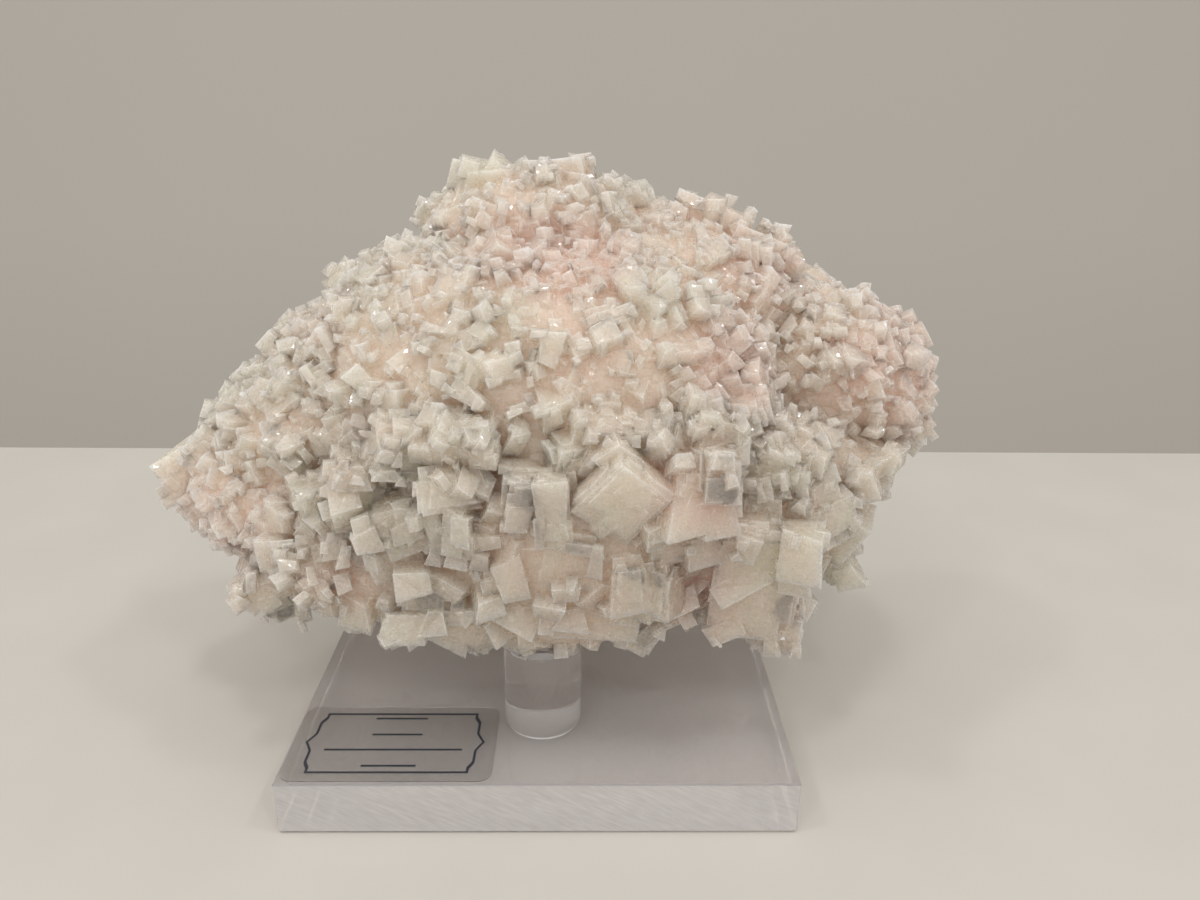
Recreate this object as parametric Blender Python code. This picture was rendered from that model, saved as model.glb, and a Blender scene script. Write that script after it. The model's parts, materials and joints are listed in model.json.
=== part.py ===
"""A cluster of pink halite crystals on a clear acrylic stand.

Run with: blender --background --python part.py
Metres, +Z up, +Y away from the front edge of the stand.
The origin is the middle of the stand's underside.
"""

import math
import random

import bmesh
import bpy
from mathutils import Euler, Matrix, Vector

MM = 0.001  # lengths below that are not multiplied by MM are stated in millimetres

# Stand
PLATE_SIDE = 101.6 * MM
PLATE_THICK = 11.7 * MM
PLATE_EDGE = 0.35 * MM  # width of the broken edge
TOUCH_GAP = 0.3 * MM  # left between pieces that rest on each other

ROD_DIAMETER = 15.875 * MM
ROD_LENGTH = 19.0 * MM
ROD_PLACE = Vector((0.1, -30.2, 0.0)) * MM
ROD_EDGE = 0.3 * MM
ROD_SIDES = 40

BEAD_RADIUS = 5.6 * MM
BEAD_HEIGHT = 3.4 * MM
BEAD_SIDES = 16
BEAD_RINGS = 4

LABEL_WIDTH = 41.0 * MM
LABEL_DEPTH = 22.6 * MM
LABEL_THICK = 0.25 * MM
LABEL_CORNER = 2.6 * MM
LABEL_PLACE = Vector((-29.6, -38.7, 0.0)) * MM
LABEL_CORNER_STEPS = 5

# The specimen's body, as overlapping lumps in millimetres:
# name, middle, half sizes, turn about X, Y and Z in degrees
LUMPS = (
    ("heart", (0, -2, 76), (50, 34, 33), (0, 0, 0)),
    ("left slope", (-43, 3, 71), (42, 25, 18), (0, -40, 0)),
    ("left keel", (-47, -5, 52), (28, 21, 12), (0, 16, 0)),
    ("left foot", (-34, -17, 46), (22, 17, 13), (0, 0, 0)),
    ("crown", (-2, 6, 107), (22, 16, 12), (0, 0, 0)),
    ("right ledge", (29, 5, 96), (24, 17, 13), (0, 12, 0)),
    ("right wing", (60.5, 9, 78), (25, 21, 17), (0, 26, 0)),
    ("right flank", (54, -5, 59), (18, 18, 13), (0, 8, 0)),
    ("front apron", (6, -22, 56), (32, 21, 25), (0, 0, 0)),
    ("right apron", (38, -17, 53), (21, 18, 20), (0, 0, 0)),
    ("chin", (4, -22, 40), (26, 18, 10), (0, 0, 0)),
    ("back swell", (2, 20, 72), (46, 20, 27), (0, 0, 0)),
)
LUMP_DETAIL = 2  # subdivisions of a lump's sphere
LUMP_ROUGH = 0.07  # how far a lump's corners stray from its ellipsoid, as a share of its size

# Crystals that stand out from the rest, in millimetres:
# name, middle, edge lengths, turn about X, Y and Z in degrees
LEADING_CRYSTALS = (
    ("spearhead", (15.6, -42.5, 68.5), (13, 6, 13), (18, 38, 12)),
    ("rosy block", (28.0, -38.5, 68.5), (12, 10, 14), (-8, 6, 20)),
    ("rosy block step", (31.5, -40.5, 72.0), (7, 8, 9), (-8, 6, 20)),
    ("great face", (41.5, -32.0, 48.5), (17, 14, 22), (4, 3, -6)),
    ("great face brow", (40.0, -33.5, 59.5), (12, 13, 4), (4, 3, -6)),
    ("great face corner", (47.5, -31.0, 38.0), (8, 13, 10), (4, 3, -6)),
    ("standing cube", (16.0, -39.5, 51.0), (7, 9, 11), (6, -4, 14)),
    ("glinting strip", (23.2, -38.5, 49.5), (5, 8, 10), (2, 8, -28)),
    ("quarter plate", (7.0, -40.0, 57.0), (12, 8, 11), (14, 8, -8)),
    ("tongue", (2.8, -42.0, 66.0), (6, 6, 13), (6, -2, -4)),
    ("tongue neighbour", (-3.2, -41.0, 68.5), (5, 7, 7), (10, 6, 8)),
    ("shelf", (-14.6, -38.5, 69.0), (11, 9, 8), (-14, -4, 12)),
    ("low shelf", (-5.6, -37.5, 51.5), (12, 10, 8), (12, -12, 10)),
    ("left tile", (-20.5, -33.5, 43.5), (12, 10, 11), (-8, 7, 8)),
    ("left tile back", (-25.0, -31.0, 53.0), (10, 9, 9), (16, -14, 30)),
    ("fang", (-13.8, -34.0, 37.0), (12, 5, 9), (12, 36, 14)),
    ("bulb", (-32.0, -30.5, 44.5), (10, 9, 12), (6, 12, -18)),
    ("bulb foot", (-27.0, -31.0, 37.5), (9, 8, 6), (10, -20, 12)),
    ("chin slab", (10.5, -34.0, 41.5), (16, 12, 8), (6, 12, 8)),
    ("chin wedge", (17.5, -32.0, 37.0), (11, 9, 8), (4, 34, 6)),
    ("chin left", (-3.0, -32.0, 41.0), (14, 10, 8), (-4, -8, 6)),
    ("left lantern", (-53.0, -22.0, 40.0), (14, 11, 10), (8, -16, 22)),
    ("left lantern end", (-59.0, -17.0, 42.0), (9, 9, 9), (-12, 24, 30)),
    ("left lantern heel", (-45.0, -22.0, 40.5), (10, 9, 9), (16, 10, -12)),
    ("pillow block", (24.5, -24.0, 90.0), (12, 9, 8), (28, -4, 14)),
    ("pillow neighbour", (16.0, -29.0, 84.5), (10, 8, 7), (24, 10, -16)),
    ("cream cube", (3.0, -31.5, 82.0), (10, 9, 8), (22, -8, 20)),
    ("cream cube left", (-6.5, -31.5, 79.0), (11, 9, 7), (18, 12, -18)),
    ("cream cube low", (6.0, -37.0, 74.5), (9, 8, 7), (12, -6, 28)),
    ("pocket lip", (38.5, -27.0, 80.0), (9, 8, 4), (12, -12, -14)),
    ("snow block", (61.0, -14.5, 62.0), (15, 12, 11), (10, 12, -24)),
    ("snow block end", (70.0, -8.0, 62.0), (11, 11, 9), (-6, 16, -30)),
    ("snow block step", (52.5, -19.0, 62.5), (10, 9, 9), (14, -10, -18)),
    ("dusky tile", (66.0, -11.0, 54.0), (8, 10, 8), (4, 14, -26)),
    ("drop plate", (58.0, -18.0, 47.5), (11, 6, 13), (6, 24, -20)),
    ("drop plate tip", (61.6, -18.5, 43.5), (5, 4, 9), (4, -26, -14)),
    ("crown left", (-12.6, 4.0, 115.5), (10, 10, 11), (6, 10, 12)),
    ("crown left tip", (-10.4, 5.0, 119.5), (6, 8, 7), (12, 28, 6)),
    ("crown saddle", (-3.0, 7.0, 114.0), (9, 10, 8), (0, -8, 24)),
    ("crown right", (4.6, 6.0, 116.5), (10, 10, 10), (-6, -6, -12)),
    ("crown right horn", (7.6, 6.5, 120.5), (4, 6, 6), (4, -12, 20)),
    ("ledge end", (45.0, 8.0, 103.5), (15, 12, 9), (6, 24, 10)),
    ("ledge middle", (33.5, 10.0, 109.0), (11, 10, 9), (-10, 12, -16)),
    ("ledge start", (20.5, 9.0, 109.0), (13, 11, 9), (8, -6, 14)),
    ("ledge rail", (38.0, -2.0, 106.0), (16, 5, 3), (10, 4, -10)),
    ("wing tip", (80.0, 14.0, 73.0), (12, 14, 14), (8, 22, -12)),
    ("wing tip heel", (80.5, 12.0, 65.5), (11, 12, 8), (-8, 10, 10)),
    ("wing roof", (67.0, 15.0, 87.0), (17, 14, 10), (4, 38, 6)),
    ("wing notch", (57.0, 14.0, 94.5), (9, 10, 8), (14, 30, -18)),
    ("left tip", (-79.5, -1.0, 56.5), (11, 10, 9), (-10, -30, 24)),
    ("left tip heel", (-72.0, -7.0, 51.5), (10, 9, 8), (14, -34, 10)),
    ("slope bump", (-42.5, 8.0, 97.0), (7, 8, 7), (8, 30, 30)),
    ("back shoulder", (-22.0, 34.0, 82.0), (17, 12, 14), (12, 18, 16)),
    ("back block", (8.0, 38.0, 74.0), (16, 11, 15), (-10, 8, 28)),
    ("back step", (30.0, 32.0, 66.0), (15, 12, 12), (14, -16, -22)),
    ("back foot", (-8.0, 30.0, 54.0), (15, 12, 11), (-18, 10, 8)),
)

# Hollows cut back into the specimen, in millimetres: name, middle, edge lengths, turn
HOLLOWS = (
    ("crown hollow", (2.0, -19.0, 106.0), (13, 9, 7), (20, 8, 12)),
    ("deep pocket", (36.5, -26.0, 88.5), (6, 9, 7), (10, 14, -16)),
    ("side pocket", (47.0, -19.0, 83.0), (5, 7, 8), (0, 24, -20)),
    ("cream cleft", (-2.0, -43.0, 74.0), (6, 6, 4), (10, -20, 10)),
    ("left cleft", (-56.0, -18.0, 57.0), (9, 7, 4), (0, -16, 12)),
)

# Crystals that fill the surface between the leading ones
GROWTH_SEED = 41
GROWTH_TRIES = 9000
FINE_EDGE = 9.2  # mm, at the top left
COARSE_EDGE = 13.0  # mm, at the lower front
SPACING = 0.87  # distance between neighbours, as a share of their edges
LARGEST_TILT = 42.0  # degrees that a crystal leans from the surface it grows on
SEAT = -0.24  # how far a crystal's middle stands off the surface, as a share of its edge
UNDERSIDE_CLEAR = 30.0  # mm, no grown crystal's middle lies lower than this


def remove_everything():
    """Empty the scene that Blender opened with."""
    for thing in list(bpy.data.objects):
        bpy.data.objects.remove(thing, do_unlink=True)


def make_material(name, colour, roughness, transmission=0.0, ior=1.5):
    """A Principled material with one colour."""
    material = bpy.data.materials.new(name)
    material.use_nodes = True
    shader = material.node_tree.nodes["Principled BSDF"]
    shader.inputs["Base Color"].default_value = (*colour, 1.0)
    shader.inputs["Roughness"].default_value = roughness
    shader.inputs["Metallic"].default_value = 0.0
    shader.inputs["Transmission Weight"].default_value = transmission
    shader.inputs["IOR"].default_value = ior
    return material


def make_object(name, mesh, material=None):
    """Link a mesh into the scene as a named object."""
    thing = bpy.data.objects.new(name, mesh)
    bpy.context.scene.collection.objects.link(thing)
    if material:
        mesh.materials.append(material)
    return thing


def finish_mesh(name, mesh_edit):
    """Turn a bmesh into a mesh whose faces point outwards."""
    bmesh.ops.recalc_face_normals(mesh_edit, faces=mesh_edit.faces)
    mesh = bpy.data.meshes.new(name)
    mesh_edit.to_mesh(mesh)
    mesh_edit.free()
    return mesh


def rounded_rectangle(width, depth, corner, steps):
    """Corner points of a flat rectangle with round corners, anticlockwise."""
    points = []
    for turn in range(4):
        side_x = (1, -1, -1, 1)[turn]
        side_y = (1, 1, -1, -1)[turn]
        middle = Vector((side_x * (width / 2 - corner), side_y * (depth / 2 - corner)))
        for step in range(steps + 1):
            angle = math.radians(90 * (turn + step / steps))
            points.append(middle + corner * Vector((math.cos(angle), math.sin(angle))))
    return points


def add_bevel(thing, width, segments=2):
    """Break an object's sharp edges."""
    bevel = thing.modifiers.new("broken edges", "BEVEL")
    bevel.width = width
    bevel.segments = segments
    bevel.limit_method = "ANGLE"
    bevel.angle_limit = math.radians(50)


def build_base_plate(acrylic):
    """The square plate, resting on its underside."""
    plate = bmesh.new()
    size = Matrix.Diagonal((PLATE_SIDE, PLATE_SIDE, PLATE_THICK, 1.0))
    place = Matrix.Translation((0, 0, PLATE_THICK / 2))
    bmesh.ops.create_cube(plate, size=1.0, matrix=place @ size)
    thing = make_object("base_plate", finish_mesh("base_plate", plate), acrylic)
    add_bevel(thing, PLATE_EDGE, segments=1)


def build_post(acrylic):
    """The round rod that stands on the plate."""
    rod = bmesh.new()
    bottom = PLATE_THICK + TOUCH_GAP
    bmesh.ops.create_cone(
        rod,
        cap_ends=True,
        segments=ROD_SIDES,
        radius1=ROD_DIAMETER / 2,
        radius2=ROD_DIAMETER / 2,
        depth=ROD_LENGTH,
        matrix=Matrix.Translation(ROD_PLACE + Vector((0, 0, bottom + ROD_LENGTH / 2))),
    )
    thing = make_object("post", finish_mesh("post", rod), acrylic)
    thing.data.shade_smooth()
    thing.data.set_sharp_from_angle(angle=math.radians(40))
    add_bevel(thing, ROD_EDGE, segments=1)


def bead_mesh(name, extra):
    """A dome with a flat underside, grown on every side but the underside by extra."""
    foot = PLATE_THICK + 2 * TOUCH_GAP + ROD_LENGTH
    dome = bmesh.new()
    rings = []
    for level in range(BEAD_RINGS):
        angle = math.radians(90 * level / BEAD_RINGS)
        radius = BEAD_RADIUS * math.cos(angle) + extra
        height = foot + (BEAD_HEIGHT + extra) * math.sin(angle) - (extra if level == 0 else 0)
        rings.append([
            dome.verts.new((
                ROD_PLACE.x + radius * math.cos(math.tau * side / BEAD_SIDES),
                ROD_PLACE.y + radius * math.sin(math.tau * side / BEAD_SIDES),
                height,
            ))
            for side in range(BEAD_SIDES)
        ])
    top = dome.verts.new((ROD_PLACE.x, ROD_PLACE.y, foot + BEAD_HEIGHT + extra))
    dome.faces.new(reversed(rings[0]))
    for side in range(BEAD_SIDES):
        following = (side + 1) % BEAD_SIDES
        for low, high in zip(rings, rings[1:]):
            dome.faces.new((low[side], low[following], high[following], high[side]))
        dome.faces.new((rings[-1][side], rings[-1][following], top))
    return finish_mesh(name, dome)


def rod_seat_mesh(name):
    """The room that the rod's upper end takes, with the gap around it."""
    seat = bmesh.new()
    bmesh.ops.create_cone(
        seat,
        cap_ends=True,
        segments=ROD_SIDES,
        radius1=ROD_DIAMETER / 2 + TOUCH_GAP,
        radius2=ROD_DIAMETER / 2 + TOUCH_GAP,
        depth=ROD_LENGTH,
        matrix=Matrix.Translation(
            ROD_PLACE + Vector((0, 0, PLATE_THICK + 2 * TOUCH_GAP + ROD_LENGTH / 2))
        ),
    )
    return finish_mesh(name, seat)


def build_adhesive_bead(adhesive):
    """The blob of clear adhesive on top of the rod."""
    thing = make_object("adhesive_bead", bead_mesh("adhesive_bead", 0.0), adhesive)
    thing.data.shade_smooth()
    thing.data.set_sharp_from_angle(angle=math.radians(50))


def build_label(film):
    """The clear film on the plate, with round corners."""
    outline = bmesh.new()
    level = PLATE_THICK + TOUCH_GAP
    corners = rounded_rectangle(LABEL_WIDTH, LABEL_DEPTH, LABEL_CORNER, LABEL_CORNER_STEPS)
    verts = [
        outline.verts.new((LABEL_PLACE.x + point.x, LABEL_PLACE.y + point.y, level))
        for point in corners
    ]
    face = outline.faces.new(verts)
    raised = bmesh.ops.extrude_face_region(outline, geom=[face])["geom"]
    upper = [part for part in raised if isinstance(part, bmesh.types.BMVert)]
    bmesh.ops.translate(outline, verts=upper, vec=(0, 0, LABEL_THICK))
    make_object("label", finish_mesh("label", outline), film)


def turn_matrix(degrees):
    """Rotation about X, Y and Z in that order."""
    return Euler([math.radians(angle) for angle in degrees]).to_matrix()


def lump_surface(lump, direction):
    """The point where a ray from a lump's middle leaves it, and the outward normal there."""
    _, middle, radii, degrees = lump
    turn = turn_matrix(degrees)
    local = direction.normalized()
    reach = Vector([local[axis] * radii[axis] for axis in range(3)])
    normal = Vector([local[axis] / radii[axis] for axis in range(3)]).normalized()
    return Vector(middle) + turn @ reach, turn @ normal


def is_inside(point, lump, share=1.0):
    """Whether a point lies within a share of a lump's size."""
    _, middle, radii, degrees = lump
    local = turn_matrix(degrees).transposed() @ (point - Vector(middle))
    return sum((local[axis] / radii[axis]) ** 2 for axis in range(3)) < share**2


def blend(low, high, value):
    """0 at low, 1 at high, and straight between."""
    return min(1.0, max(0.0, (value - low) / (high - low)))


def crystal_edge(point):
    """Edge length of the crystals that grow at a point: coarse low down at the front."""
    lowness = blend(96.0, 52.0, point.z)
    frontness = blend(12.0, -30.0, point.y)
    rightness = blend(-62.0, -10.0, point.x)
    share = lowness * (0.25 + 0.75 * frontness) * (0.3 + 0.7 * rightness)
    return FINE_EDGE + (COARSE_EDGE - FINE_EDGE) * share


def random_direction(chance):
    """A direction with no favourite side."""
    while True:
        direction = Vector([chance.uniform(-1, 1) for _ in range(3)])
        if 0.1 < direction.length < 1.0:
            return direction.normalized()


def grown_crystals(chance):
    """Crystals spread over the lumps' outer surface, as (middle, edges, turn)."""
    weights = [radii[0] * radii[1] + radii[1] * radii[2] for _, _, radii, _ in LUMPS]
    taken = [(Vector(middle), max(edges)) for _, middle, edges, _ in LEADING_CRYSTALS]
    taken += [(Vector(middle), max(edges)) for _, middle, edges, _ in HOLLOWS]
    crystals = []
    for _ in range(GROWTH_TRIES):
        lump = chance.choices(LUMPS, weights)[0]
        point, normal = lump_surface(lump, random_direction(chance))
        proportions = [chance.uniform(0.75, 1.15) for _ in range(3)]
        tilt = math.radians(chance.uniform(0, LARGEST_TILT))
        spin = chance.uniform(0, math.tau)
        lean_axis = normal.orthogonal().normalized()
        lean_axis.rotate(Matrix.Rotation(chance.uniform(0, math.tau), 3, normal))
        if any(is_inside(point, other, 0.97) for other in LUMPS if other is not lump):
            continue
        edge = crystal_edge(point)
        if point.z < UNDERSIDE_CLEAR + edge / 2:
            continue
        if any((point - place).length < SPACING * (edge + other) / 2 for place, other in taken):
            continue
        taken.append((point, edge))
        upright = normal.to_track_quat("Z", "Y").to_matrix()
        turn = Matrix.Rotation(tilt, 3, lean_axis) @ upright @ Matrix.Rotation(spin, 3, "Z")
        edges = [edge * share for share in proportions]
        crystals.append((point + normal * edge * SEAT, edges, turn))
    return crystals


def sorted_into_layers(crystals):
    """Share crystals out so that no two in a layer can touch."""
    layers = []
    for middle, edges, turn in crystals:
        reach = Vector(edges).length / 2
        for layer in layers:
            if all((middle - other).length > reach + far for other, far, _, _ in layer):
                break
        else:
            layer = []
            layers.append(layer)
        layer.append((middle, reach, edges, turn))
    return layers


def block_mesh(name, blocks):
    """One mesh of separate right-angled blocks."""
    joined = bmesh.new()
    for middle, _, edges, turn in blocks:
        shape = Matrix.LocRotScale(middle * MM, turn, Vector(edges) * MM)
        bmesh.ops.create_cube(joined, size=1.0, matrix=shape)
    return finish_mesh(name, joined)


def as_guide(thing, collection):
    """Keep a construction object out of the picture and in its own collection."""
    bpy.context.scene.collection.objects.unlink(thing)
    collection.objects.link(thing)
    thing.hide_render = True
    thing.display_type = "WIRE"


def lump_mesh(lump, chance):
    """A lump as a rough ellipsoid."""
    name, middle, radii, degrees = lump
    body = bmesh.new()
    bmesh.ops.create_icosphere(body, subdivisions=LUMP_DETAIL, radius=1.0)
    turn = turn_matrix(degrees)
    for vert in body.verts:
        rough = 1.0 + chance.uniform(-LUMP_ROUGH, LUMP_ROUGH)
        reach = Vector([vert.co[axis] * radii[axis] * rough for axis in range(3)])
        vert.co = (Vector(middle) + turn @ reach) * MM
    return finish_mesh(name, body)


def fuse(thing, collection, operation):
    """Add to, or cut from, an object everything in a collection."""
    boolean = thing.modifiers.new(collection.name, "BOOLEAN")
    boolean.operation = operation
    boolean.solver = "EXACT"
    boolean.operand_type = "COLLECTION"
    boolean.collection = collection


def guide_collection(name):
    """A collection for construction objects."""
    collection = bpy.data.collections.new(name)
    bpy.context.scene.collection.children.link(collection)
    return collection


def remove_collection(collection):
    """Delete a collection and the construction objects in it."""
    for thing in list(collection.objects):
        bpy.data.objects.remove(thing, do_unlink=True)
    bpy.data.collections.remove(collection)


def islands_of(solid):
    """The sets of vertices that edges join, largest first."""
    left = set(solid.verts)
    islands = []
    while left:
        front = [left.pop()]
        island = set(front)
        while front:
            vert = front.pop()
            for edge in vert.link_edges:
                other = edge.other_vert(vert)
                if other in left:
                    left.discard(other)
                    island.add(other)
                    front.append(other)
        islands.append(island)
    return sorted(islands, key=len, reverse=True)


def keep_outer_skin(thing):
    """Apply an object's modifiers and drop what is loose or sealed inside the result."""
    skin = bmesh.new()
    skin.from_object(thing, bpy.context.evaluated_depsgraph_get())
    for island in islands_of(skin)[1:]:
        bmesh.ops.delete(skin, geom=list(island), context="VERTS")
    thing.modifiers.clear()
    skin.to_mesh(thing.data)
    skin.free()


def build_halite_cluster(halite):
    """The specimen: lumps, the crystals on them, and the hollows, in one solid."""
    chance = random.Random(GROWTH_SEED)
    meshes = [lump_mesh(lump, chance) for lump in LUMPS]
    cluster = make_object("halite_cluster", meshes[0], halite)

    growth = guide_collection("growth")
    for mesh in meshes[1:]:
        as_guide(make_object("lump " + mesh.name, mesh), growth)
    leading = [
        (Vector(middle), edges, turn_matrix(degrees))
        for _, middle, edges, degrees in LEADING_CRYSTALS
    ]
    for layer in sorted_into_layers(leading + grown_crystals(chance)):
        as_guide(make_object("growth layer", block_mesh("growth layer", layer)), growth)
    fuse(cluster, growth, "UNION")

    hollows = guide_collection("hollows")
    cuts = [
        (Vector(middle), edges, turn_matrix(degrees)) for _, middle, edges, degrees in HOLLOWS
    ]
    for layer in sorted_into_layers(cuts):
        as_guide(make_object("hollow", block_mesh("hollow", layer)), hollows)
    as_guide(make_object("bead socket", bead_mesh("bead socket", TOUCH_GAP)), hollows)
    as_guide(make_object("rod seat", rod_seat_mesh("rod seat")), hollows)
    fuse(cluster, hollows, "DIFFERENCE")

    keep_outer_skin(cluster)
    remove_collection(growth)
    remove_collection(hollows)


def main():
    """Build every piece."""
    remove_everything()
    acrylic = make_material("clear_acrylic", (0.93, 0.93, 0.93), 0.05, 1.0, 1.49)
    adhesive = make_material("clear_adhesive", (0.9, 0.9, 0.88), 0.15, 1.0, 1.48)
    film = make_material("label_film", (0.85, 0.84, 0.83), 0.3, 0.8, 1.47)
    halite = make_material("pink_halite", (0.85, 0.74, 0.69), 0.35, 0.3, 1.544)
    build_base_plate(acrylic)
    build_post(acrylic)
    build_adhesive_bead(adhesive)
    build_label(film)
    build_halite_cluster(halite)


main()
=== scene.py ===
"""Finish for a pink halite cluster on a clear acrylic stand.

It is laid out as an add-on: settings in property groups, one
operator for each piece or group of like pieces and one for the stage, and a panel that lists them.
Metres, +Z up. The tables of the specimen's shape are in millimetres.
"""

import itertools
import json
import math
import random

import bmesh
import bpy
import numpy as np
from bpy.props import FloatProperty, FloatVectorProperty, IntProperty, PointerProperty
from mathutils import Euler, Matrix, Vector

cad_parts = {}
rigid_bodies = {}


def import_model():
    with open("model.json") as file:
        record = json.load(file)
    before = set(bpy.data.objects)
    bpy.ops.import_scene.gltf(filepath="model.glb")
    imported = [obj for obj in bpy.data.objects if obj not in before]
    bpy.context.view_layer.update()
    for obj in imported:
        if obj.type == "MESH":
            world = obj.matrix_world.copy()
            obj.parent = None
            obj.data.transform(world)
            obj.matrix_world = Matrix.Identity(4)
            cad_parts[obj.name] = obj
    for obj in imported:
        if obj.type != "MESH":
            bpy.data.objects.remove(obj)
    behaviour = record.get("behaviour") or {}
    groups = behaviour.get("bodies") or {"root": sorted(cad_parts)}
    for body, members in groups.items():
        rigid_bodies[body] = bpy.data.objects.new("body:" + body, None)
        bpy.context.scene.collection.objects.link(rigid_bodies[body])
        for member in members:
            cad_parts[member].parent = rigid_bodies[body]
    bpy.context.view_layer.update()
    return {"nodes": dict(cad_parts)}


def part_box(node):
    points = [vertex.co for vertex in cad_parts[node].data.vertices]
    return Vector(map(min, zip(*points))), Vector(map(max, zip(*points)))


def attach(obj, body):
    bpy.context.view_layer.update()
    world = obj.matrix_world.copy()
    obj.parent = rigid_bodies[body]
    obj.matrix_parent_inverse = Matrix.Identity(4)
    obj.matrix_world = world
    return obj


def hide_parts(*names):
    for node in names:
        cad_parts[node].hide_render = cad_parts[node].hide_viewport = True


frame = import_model()

bl_info = {
    "name": "Halite Cluster on a Clear Stand",
    "version": (1, 0, 0),
    "blender": (4, 5, 0),
    "location": "3D View > Sidebar > Halite",
    "description": "Builds the crystals, the acrylic stand, its label and the stage",
    "category": "Object",
}

MM = 0.001
BODY = "root"

# Places taken from the frame
_, PLATE_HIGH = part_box("base_plate")
ROD_LOW, ROD_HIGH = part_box("post")
BEAD_LOW, BEAD_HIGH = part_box("adhesive_bead")
FILM_LOW, FILM_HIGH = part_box("label")
ROD_MIDDLE = (ROD_LOW + ROD_HIGH) / 2
ROD_RADIUS = (ROD_HIGH.x - ROD_LOW.x) / 2
CLUSTER_LOW, CLUSTER_HIGH = (np.array(corner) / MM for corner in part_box("halite_cluster"))
SEAT_GAP = 0.3 * MM  # room around the rod and the adhesive

# Label, in millimetres where not stated
FILM_THICK = 0.15 * MM
FILM_CORNER = 2.6 * MM
INK_THICK = 0.03 * MM
BORDER_SIDE = 16.8  # from the middle to the straight part of a side
BORDER_TOP = 9.1  # from the middle to the top line
BORDER_POINT = ((1.4, 0.0), (0.9, 0.8), (0.0, 2.6))  # out from the side, up from the middle
BORDER_SHOULDER = ((0.0, -2.9), (-0.5, -1.9), (-0.9, -1.2), (-0.9, 0.0))  # the same, up from the top
RULED_LINES = ((7.4, 10.9), (2.3, 10.3), (-2.3, 27.7), (-7.0, 10.8))  # height over the middle, length
LINE_HALF = 0.25  # half a ruled line's width
LINE_CORNER = 0.24 * MM

# Rod and its cement
ROD_CHAMFER = 0.3 * MM
CEMENT_LOW, CEMENT_HIGH = 7.5 * MM, 7.3 * MM  # radius of the cement at the plate and in the rod
CEMENT_DEPTH = 0.2 * MM  # how far the cement reaches into the rod
LIFT = 0.01 * MM  # clear of the plate

# Crystals of the finished specimen, in millimetres. A seat is a share of an edge, outward.
PIECE_LIMIT = 200000  # triangles
CRUST_SEED = 17
SWELL = 1.3  # how much thicker the fine parts are than their lumps
SWELL_LOSS = 0.6  # share of that missing where the crystals are coarse
FINE_SHRINK = 0.2  # how much smaller the grown crystals are under the fine crust
LAYER_GAP = 0.05  # half the least room between blocks that are joined in one go
LARGEST_TAPER = 0.6  # of a small crystal, across its outer end
TAPER_FROM, TAPER_FULL = 15.0, 5.0  # longest edges with no taper and with all of it
CORNER_STRAY = 0.16  # how far a crystal's corners stray, as a share of its shortest edge
BACKED_FRONT = -24.0  # leading crystals in front of this have a block behind them
BACKING_SETBACK = 5.5
BACKING_EDGE = 9.5  # shortest edge
STEP_SPAN = (0.2, 0.8)  # size of a raised plate, as shares of its face
STEP_THICK = (0.5, 1.6)
STEP_STRAY = 1.1  # how far a plate is off the middle of its face, as a share of the room there
STEP_HEIGHT = 1.0  # least height over the lumps
SITE_HEIGHT = -0.8  # least height over the swollen lumps where a crystal grows
SITE_DEPTH = 0.3  # least depth inside a block where none grows
LEADING_CLEAR = 1.5  # around a leading crystal where few others grow
LARGEST_LEAN = 32.0  # degrees
ALIGNED_SHARE = 0.7  # share of the crystals that are in line with the one under them
ALIGNED_LEAN = 7.0  # degrees that they still lean
BACK_START, BACK_END = 0.0, 30.0  # along Y, where crystals are larger than in front
INFILL_TRIES = 60000
INFILL_SPACING = 0.72  # distance between neighbours, as a share of their edges
INFILL_EDGE = (3.0, 4.8)
INFILL_COARSER = (0.2, 4.2)  # longer by this in the coarsest parts
INFILL_SHAPE = (0.45, 1.5)  # proportions
INFILL_SEAT = (-0.4, -0.16)
INFILL_PROUD = 0.1  # higher seat in the coarsest parts
INFILL_BEHIND = 0.5  # how much larger at the back
INFILL_NEAR = 0.06  # share of the sites close to a leading crystal that are kept
CRUST_TRIES = 90000
CRUST_SPACING = 1.0
CRUST_LOSS = 0.9  # share of the sites dropped in the coarsest parts
CRUST_FALL = 1.7  # how fast the crust thins out towards them
CRUST_SKEW = 1.4  # how much commoner the smaller ones are
CRUST_SHAPE = (0.5, 1.4)
CRUST_SEAT = (-0.36, -0.1)
CRUST_BEHIND = 0.9
CRUST_NEAR = 0.1

# Look of the halite
PATCH_GRAINS = 70.0  # patches of rose in a metre
PAINTED_GAP_LIGHT_SHARE = 0.5  # how much of the painted gap light shows between crystals: a brighter, pinker colour standing in for light scattered into the gaps
RIM = 0.6 * MM  # width of the frosted edges
RIM_SHOW = (0.1, 0.7)  # least and most of the frost that shows
RIM_MILK = 0.6  # share of milk under the frost
WIDE_FACET = 2.0 * MM
FINE_FACET = 0.9 * MM
FACET_WARP = 3.0 * MM
WARP_GRAINS = 150.0  # in a metre
FACET_EASE = 0.3  # tilt of most facets, as a share of the steepest
FACET_SHADE = (0.96, 1.0)
FACET_ROUGH = (0.4, 0.06)  # from the dullest to the glossiest facet
FINE_CLEAR = 0.3  # clearness of the fine parts, as a share of the coarse parts'
MILK_SPREAD = (0.92, 0.96, 1.0)  # how far red, green and blue light wander, as shares

# Look of the acrylic
ACRYLIC_IOR = 1.49
SAWN_CLEAR = (0.56, 0.64)  # least and most share of light through the sawn sides
SAWN_SLANT = math.radians(28.0)
SAWN_GRAINS = 240.0  # in a metre
SAWN_ROUGH = (0.05, 0.16)
SAWN_DEPTH = 0.06 * MM
CLEAR_ROUGH = 0.035  # most roughness of the polished parts

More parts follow.
